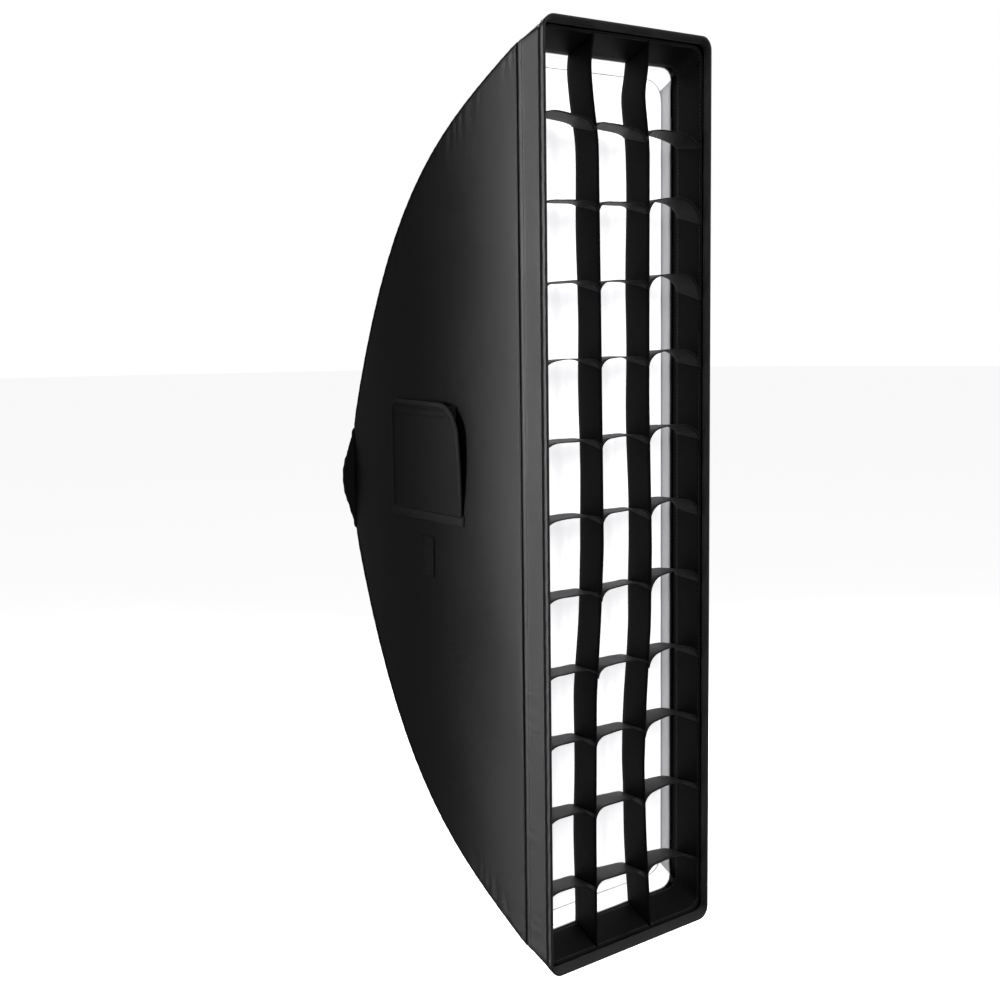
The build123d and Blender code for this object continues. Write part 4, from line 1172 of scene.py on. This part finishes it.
def make_flap_trim():
    """Binding round the flap's free edges, and the facing along its top."""
    fold = [(1.4, 0.1), (1.1, 1.1), (0.0, 1.7), (-1.6, 1.75), (-3.4, 1.35), (-4.5, 0.8), (-4.6, 0.45)]
    fold += [(-4.6, -0.45), (-4.2, -0.85), (-2.2, -1.0), (0.0, -0.95), (1.0, -0.7)]
    path = flap_point(*flap_outline(0.6 * MM))
    obj = sweep("flap_binding", path, LEFT_OUT, np.array(fold) * MM, flap_tape, away=1)
    fold_with_flap(obj)
    line = flap_point(*flap_outline(4.0 * MM), 1.1 * MM)
    fold_with_flap(stitches("flap_binding", line, LEFT_OUT))
    for n, down in enumerate(FACING_ROWS, start=1):
        height = FLAP_TOP - down
        front, back = flap_edges(height)
        line = flap_point(np.linspace(front + 5 * MM, back - 5 * MM, 60), height, 0.55 * MM)
        sew(f"flap_facing_{n}", line, LEFT_OUT, "flap", pitch=3.6 * MM)
    rows = np.linspace(FLAP_TOP - 19.5 * MM, FLAP_TOP - 8.5 * MM, 7)[:, None]
    front, back = flap_edges(rows)
    run = front + 4 * MM + (back - front - 8 * MM) * np.linspace(0, 1, 56)
    lift = 0.55 * MM + 0.35 * MM * np.sin(np.linspace(0, math.pi, 7))[:, None]
    facing = lattice("flap_facing", flap_point(run, rows, lift), [flap_cloth])
    place(thicken(facing, 0.5 * MM), "flap")


def make_flap_tapes():
    """Hook tape inside the flap's top edge, and the loop tape on the panel that it grips."""
    low, high = heights("flap_loop_tape")
    depth, middle = np.linspace(*depths("flap_loop_tape"), 40), (low + high) / 2
    profile = tape_profile(high - low, 0.6 * MM)
    loops = sweep("flap_loops", side_wall(-1, depth, middle), LEFT_OUT, profile, loop_tape)
    place(loops, "box", ["flap_loop_tape"])
    hooks = sweep("flap_hooks", flap_point(depth, middle, -1.2 * MM), LEFT_OUT, profile, hook_tape)
    place(hooks, "flap", ["flap_hook_tape"])


def make_hem_tape():
    """Folded tape that sews the flap's foot down, a little wider than the flap."""
    low, high = heights("flap_hem")
    depth = np.linspace(*depths("flap_hem"), 60)
    middle, width = (low + high) / 2 + 0.8 * MM, high - low + 1.5 * MM
    path = side_wall(-1, depth, middle + 0.3 * MM * np.sin(depth / 0.013))
    obj = sweep("hem_tape", path, LEFT_OUT, tape_profile(width, 1.9 * MM), flap_tape)
    place(obj, "box", ["flap_hem"])
    for name, shift in (("upper", width / 2 - 2.2 * MM), ("lower", 2.2 * MM - width / 2)):
        line = side_wall(-1, depth, middle + shift, 1.75 * MM)
        sew(f"hem_{name}", line, LEFT_OUT, pitch=3.8 * MM)


def make_keeper_strap():
    """Webbing tab: tucked in at its top, sewn down the sides, open below."""
    z = np.linspace(STRAP_FOOT, STRAP_TOP, 40)[:, None]
    depth = np.linspace(STRAP_FRONT, STRAP_BACK, 16)
    down = (STRAP_TOP - z) / (STRAP_TOP - STRAP_FOOT)
    belly = np.sin(math.pi * np.linspace(0, 1, 16))
    out = 0.9 * MM + 1.0 * MM * np.clip((down - 0.2) / 0.1, 0, 1) * belly**0.6
    out = out + 0.3 * MM * np.sin(z / 0.006) * belly
    obj = lattice("strap_webbing", side_wall(-1, depth, z, out), [strap_tape])
    place(thicken(obj, STRAP_THICKNESS), "box", ["keeper_strap"])
    front, back = STRAP_FRONT + STRAP_STITCH_INSET, STRAP_BACK - STRAP_STITCH_INSET
    sides = np.linspace(STRAP_FOOT + STRAP_STITCH_INSET, STRAP_TOP - STRAP_STITCH_INSET, 30)
    for name, at in (("front", front), ("back", back)):
        sew(f"strap_{name}", side_wall(-1, at, sides, 1.3 * MM), LEFT_OUT, pitch=3.4 * MM)
    line = side_wall(-1, np.linspace(front, back, 12), STRAP_TOP - 10 * MM, 1.2 * MM)
    sew("strap_tuck", line, LEFT_OUT, pitch=3.4 * MM)


def make_window_binding():
    """Tape folded over the raw edge of the access window."""
    path = side_wall(-1, *rounded_outline(WINDOW, WINDOW_RADIUS), -CLOTH / 2)
    fold = [(0.8, 0.0), (0.6, 0.85), (-0.4, 1.05), (-4.6, 0.95), (-4.7, 0.55)]
    fold += [(-4.7, -0.55), (-4.6, -0.95), (-0.4, -1.05), (0.6, -0.85)]
    profile = np.array(fold) * MM
    obj = sweep("window_binding", path, LEFT_OUT, profile, binding_tape, closed=True, away=-1)
    place(obj, "box")


make_flap()
make_flap_trim()
make_flap_tapes()
make_hem_tape()
make_keeper_strap()
make_window_binding()


# ---- rear collar --------------------------------------------------------------------------------
COLLAR_STEPS = 720
PLEATS = 36
PLEAT_HEIGHT = 1.1 * MM
COLLAR_SEAM = (76.2 * MM, 8.2 * MM)
COLLAR_SEAM_Y = -23.4 * MM
BUTTONHOLE_RADIUS = 6 * MM
LOCK_Y = -5 * MM


def ring_about(radius, y, angles):
    """Ring about the box's middle line."""
    return xyz(radius * np.cos(angles), y, radius * np.sin(angles))


def squircle(angles, half, corner):
    """Distance from the middle to a rounded square at each angle."""
    c, s = np.abs(np.cos(angles)), np.abs(np.sin(angles))
    core = half - corner
    along = core * (c + s)
    arc = along + np.sqrt(np.maximum(along**2 - 2 * core**2 + corner**2, 0))
    straight = half / np.maximum(c, s)
    return np.where(straight * np.minimum(c, s) <= core, straight, arc)


def collar_points():
    """Square at the panels, gathered round the rod sockets and drawn in by the elastic."""
    stations = [(-24.4, 75.6, 8), (-22.5, 77.0, 16), (-20.0, 79.8, 30), (-17.0, 83.0, 50)]
    stations += [(-14.0, 85.6, 72), (-11.0, 87.0, 86.9), (-8.0, 86.4, 86.3), (-5.5, 84.2, 84.1)]
    stations += [(-3.6, 81.6, 81.5), (-2.4, 79.4, 79.3), (-1.5, 78.2, 78.1), (-0.7, 77.9, 77.8)]
    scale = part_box("rear_collar")[1].x / max(half for _, half, _ in stations)
    angles = full_circle(COLLAR_STEPS)
    pleat = np.sin(PLEATS * angles + 0.9 * np.sin(5 * angles))
    pleat = pleat * (0.75 + 0.25 * np.sin(7 * angles + 1.0)) + 0.3 * np.sin(13 * angles + 0.6)
    rings = []
    for n, (y, half, corner) in enumerate(stations):
        gather = (n / (len(stations) - 1)) ** 1.3
        radius = squircle(angles, half * scale, corner * scale) + PLEAT_HEIGHT * gather * pleat
        rings.append(ring_about(radius, y * MM, angles))
    points = np.repeat(np.stack(rings), 2, axis=0)[:-1]
    points[1::2] = (points[:-1:2] + points[2::2]) / 2
    return points


def make_collar():
    """Gathered skirt with a buttonhole for the lock screw, and the tape over its seam."""
    points = collar_points()
    hole = np.hypot(points[..., 1] - LOCK_Y, points[..., 2]) < BUTTONHOLE_RADIUS
    hole &= points[..., 0] > 0
    pairs = hole & np.roll(hole, -1, 1)
    keep = ~(pairs[1:] & pairs[:-1])
    obj = lattice("collar_skirt", points, [shell_cloth], closed=(False, True), keep=keep)
    place(thicken(obj, 0.8 * MM), "box", ["rear_collar"])
    run = run_lengths(points, 0, False)[-1]
    angles = full_circle(28)
    rim = BUTTONHOLE_RADIUS + 0.3 * MM
    y = LOCK_Y + rim * np.cos(angles)
    path = xyz(np.interp(y, points[:, 0, 1], points[:, 0, 0]) - 0.2 * MM, y, rim * np.sin(angles))
    edge = round_profile(1.3 * MM, 8, 0.8)
    place(sweep("collar_buttonhole", path, (1, 0, 0), edge, binding_tape, closed=True), "box")
    angles = full_circle(200)
    seam = ring_about(squircle(angles, *COLLAR_SEAM), COLLAR_SEAM_Y, angles)
    out = unit(seam * (1, 0, 1))
    tape = sweep("collar_seam", seam, out, tape_profile(6 * MM, 0.9 * MM), binding_tape, closed=True)
    place(tape, "box")
    sew("collar_seam", seam + out * 0.8 * MM, out, closed=True)


def make_collar_elastic():
    """Elastic in the collar's edge, ruched by the cloth over it."""
    low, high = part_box("collar_elastic")
    thick = (high.y - low.y) / 2
    angles = full_circle(360)
    path = ring_about(high.x - thick, (low.y + high.y) / 2, angles)
    swell = 1 + 0.16 * np.sin(90 * angles) + 0.08 * np.sin(37 * angles)
    profile = round_profile(thick) * swell[:, None, None]
    obj = sweep("collar_band", path, path * (1, 0, 1), profile, elastic_tape, closed=True)
    place(obj, "box", ["collar_elastic"])


make_collar()
make_collar_elastic()


# ---- inner baffle, its tabs and the rod pockets -------------------------------------------------
TAB_WIDTH = 20 * MM
TAB_OVERLAP = 10 * MM
TAB_PITCH = 230 * MM
# Insets of the rods from the two walls, in x and z, at the back edge and at the rim.
ROD_BACK_INSET = (8.5 * MM, 10.5 * MM)
ROD_RIM_INSET = (6.5 * MM, 7.6 * MM)
ROD_TIP_DEPTH = 58 * MM
POCKET_RADIUS = 4.9 * MM
POCKET_LENGTH = 22 * MM
POCKET_OVERHANG = 3.4 * MM


def baffle_relief(x, z, edge):
    """A slow belly in the middle, and pulls at the edge."""
    belly = 2.2 * MM * np.sin(z / 0.19 + 0.5) * (1 - np.exp(-edge / 0.05))
    return belly + 0.5 * MM * np.sin((x - z) / 0.017) * np.exp(-edge / 0.02)


def make_baffle():
    """Inner white sheet in its binding."""
    box = (BAFFLE_LOW.x, BAFFLE_HIGH.x, BAFFLE_LOW.z, BAFFLE_HIGH.z)
    y = (BAFFLE_LOW.y + BAFFLE_HIGH.y) / 2
    sheet = flat_sheet("baffle_sheet", box, BAFFLE_RADIUS, y, baffle_cloth, 8 * MM, baffle_relief)
    place(thicken(sheet, 0.6 * MM, offset=0.0), "box", ["inner_baffle"])
    a, b = rounded_outline(box, BAFFLE_RADIUS, 5 * MM)
    path = xyz(a, y + baffle_relief(a, b, 0.0), b)
    fold = [(0.6, 0.0), (0.5, 0.75), (-0.4, 0.95), (-5.0, 0.85), (-5.0, -0.85), (-0.4, -0.95), (0.5, -0.75)]
    profile = np.array(fold) * MM
    obj = sweep("baffle_binding", path, (0, -1, 0), profile, binding_tape, closed=True, away=1)
    place(obj, "box")
    inner = path - outward(path) * 3 * MM + (0, -1.0 * MM, 0)
    sew("baffle", inner, (0, -1, 0), pitch=5 * MM, closed=True)


def tab_loop(start, stop, width_axis):
    """Elastic tab from the baffle's edge to the wall, waisted in the middle."""
    share = np.linspace(0, 1, 14)[:, None, None]
    waist = 1 - 0.16 * np.sin(math.pi * share)
    profile = tape_profile(TAB_WIDTH, 1.5 * MM)
    line = start + (stop - start) * share
    return line + width_axis * profile[:, :1] * waist + (0, 1, 0) * profile[:, 1:]


def make_baffle_tabs():
    _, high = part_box("baffle_tabs")
    reach = np.array([(BAFFLE_HIGH.x - TAB_OVERLAP, high.x), (BAFFLE_HIGH.z - TAB_OVERLAP, high.z)])
    y = BAFFLE_HIGH.y + 0.2 * MM
    loops = []
    for side in (-1, 1):
        (x_in, x_out), (z_in, z_out) = side * reach
        for z in (-TAB_PITCH, 0.0, TAB_PITCH):
            loops.append(tab_loop(xyz(x_in, y, z), xyz(x_out, y, z), np.array([0, 0, 1])))
        loops.append(tab_loop(xyz(0, y, z_in), xyz(0, y, z_out), np.array([1, 0, 0])))
    place(tubes("baffle_straps", loops, [elastic_tape]), "box", ["baffle_tabs"])


def rod_point(side_x, side_z, depth):
    """Point on the middle line of a rod."""
    back = np.array([BACK_HALF_WIDTH, BACK_HALF_HEIGHT]) - ROD_BACK_INSET
    rim = np.array([HALF_WIDTH, HALF_HEIGHT]) - ROD_RIM_INSET
    x, z = back + (rim - back) * float(spread(depth))
    return np.array([side_x * x, RIM_Y + depth, side_z * z])


def make_pocket(side_x, side_z, place_name):
    """Sewn sleeve round a capped rod tip, flattened where it is stitched to the seam."""
    tip = rod_point(side_x, side_z, ROD_TIP_DEPTH)
    along = unit(tip - rod_point(side_x, side_z, ROD_TIP_DEPTH + 14 * MM))
    share = np.linspace(0, 1, 18)
    path = tip + along * (POCKET_OVERHANG - share * POCKET_LENGTH)[:, None]
    dome = np.sqrt(np.maximum(1 - (1 - share * 3.2) ** 2, 0.05)) + (share > 0.31)
    flare = 1 + 0.10 * np.clip((share - 0.8) / 0.2, 0, 1) + 0.03 * np.sin(share * 40)
    radius = POCKET_RADIUS * np.minimum(1, dome) * flare
    profile = round_profile(1.0, 20) * radius[:, None, None]
    obj = sweep(f"pocket_{place_name}", path, (side_x, 0, side_z), profile, binding_tape)
    place(obj, "box", [f"rod_pocket_{place_name}"])


make_baffle()
make_baffle_tabs()
for seam in SEAMS:
    make_pocket(*seam)


# ---- the frame's own nodes ----------------------------------------------------------------------
def finish_node(name, material):
    """Gives a node of the frame its finish."""
    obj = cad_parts[name]
    obj.data.materials.clear()
    obj.data.materials.append(material)


finish_node("speedring", coat)
finish_node("retaining_ring", coat)
finish_node("mount_insert", turned_aluminium)
finish_node("retaining_screws", zinc_steel)
finish_node("lock_screw", zinc_steel)
finish_node("lock_knob", plastic)
for _, _, corner in SEAMS:
    finish_node(f"rod_{corner}", spring_steel)
    finish_node(f"rod_cap_{corner}", plastic)


# ---- floor, light and camera --------------------------------------------------------------------
AMBIENT = 0.08
FLOOR_HEIGHT = -1.15
CAMERA_PLACE = (-1.4334, -1.9027, 0.2623)
CAMERA_TURN = math.radians(41.25)
CAMERA_PITCH = math.radians(7.36)
CAMERA_ROLL = math.radians(-0.74)
FOCAL_SHARE = 1.5445  # focal length as a share of the frame's width


def make_floor():
    """Wide pale disc below the softbox, which is held up by its flash."""
    rings = np.array([0.5, 2.0, 6.0, 14.0, 30.0])[:, None]
    angles = full_circle(96)
    points = xyz(rings * np.cos(angles), rings * np.sin(angles), FLOOR_HEIGHT)
    floor = lattice("floor", points, [pale_floor()], closed=(False, True), centre=(0, 0, -10))
    floor.visible_diffuse = False
    floor.visible_glossy = False


def make_world():
    """Even white surround for the camera, and a dimmer one for the light it gives."""
    world = bpy.data.worlds.new("studio")
    bpy.context.scene.world = world
    world.use_nodes = True
    nodes, links = world.node_tree.nodes, world.node_tree.links
    background = nodes["Background"]
    background.inputs["Color"].default_value = (1, 1, 1, 1)
    seen = nodes.new("ShaderNodeLightPath").outputs["Is Camera Ray"]
    strength = nodes.new("ShaderNodeMapRange")
    strength.inputs["To Min"].default_value = AMBIENT
    strength.inputs["To Max"].default_value = 1.0
    links.new(seen, strength.inputs["Value"])
    links.new(strength.outputs[0], background.inputs["Strength"])


def area_light(name, position, target, size, power, beam=180):
    """Rectangular light of a power in watts, aimed at a point, with its beam in degrees."""
    data = bpy.data.lights.new(name, "AREA")
    data.spread = math.radians(beam)
    data.shape = "RECTANGLE"
    data.size, data.size_y = size
    data.energy = power
    light = link(bpy.data.objects.new(name, data))
    light.location = position
    direction = Vector(target) - Vector(position)
    light.rotation_mode = "QUATERNION"
    light.rotation_quaternion = direction.to_track_quat("-Z", "Y")
    light.visible_camera = False


def make_camera():
    """Camera turned to the right of +Y, pitched down and rolled."""
    data = bpy.data.cameras.new("camera")
    camera = link(bpy.data.objects.new("camera", data))
    data.sensor_width = 36.0
    data.lens = data.sensor_width * FOCAL_SHARE
    place_and_turn = Matrix.Translation(CAMERA_PLACE) @ Matrix.Rotation(-CAMERA_TURN, 4, "Z")
    tilt = Matrix.Rotation(math.pi / 2 - CAMERA_PITCH, 4, "X")
    camera.matrix_world = place_and_turn @ tilt @ Matrix.Rotation(CAMERA_ROLL, 4, "Z")
    bpy.context.scene.camera = camera


make_floor()
make_world()
area_light("strip_behind_left", (-0.68, 0.05, -0.10), (-0.15, -0.70, -0.10), (0.15, 2.1), 1.2, beam=62)
area_light("fill_front", (0.4, -3.6, 1.6), (0, -0.5, 0), (2.2, 2.2), 80)
area_light("top", (0.2, -1.2, 3.0), (0, -0.4, 0), (1.4, 1.4), 15)
area_light("right", (3.0, 0.6, 0.9), (0.1, -0.3, 0), (1.6, 2.4), 90)
area_light("rear", (1.9, 3.0, 1.4), (0, -0.1, 0), (2.0, 2.0), 60)
make_camera()
bpy.context.scene.view_settings.view_transform = "Standard"
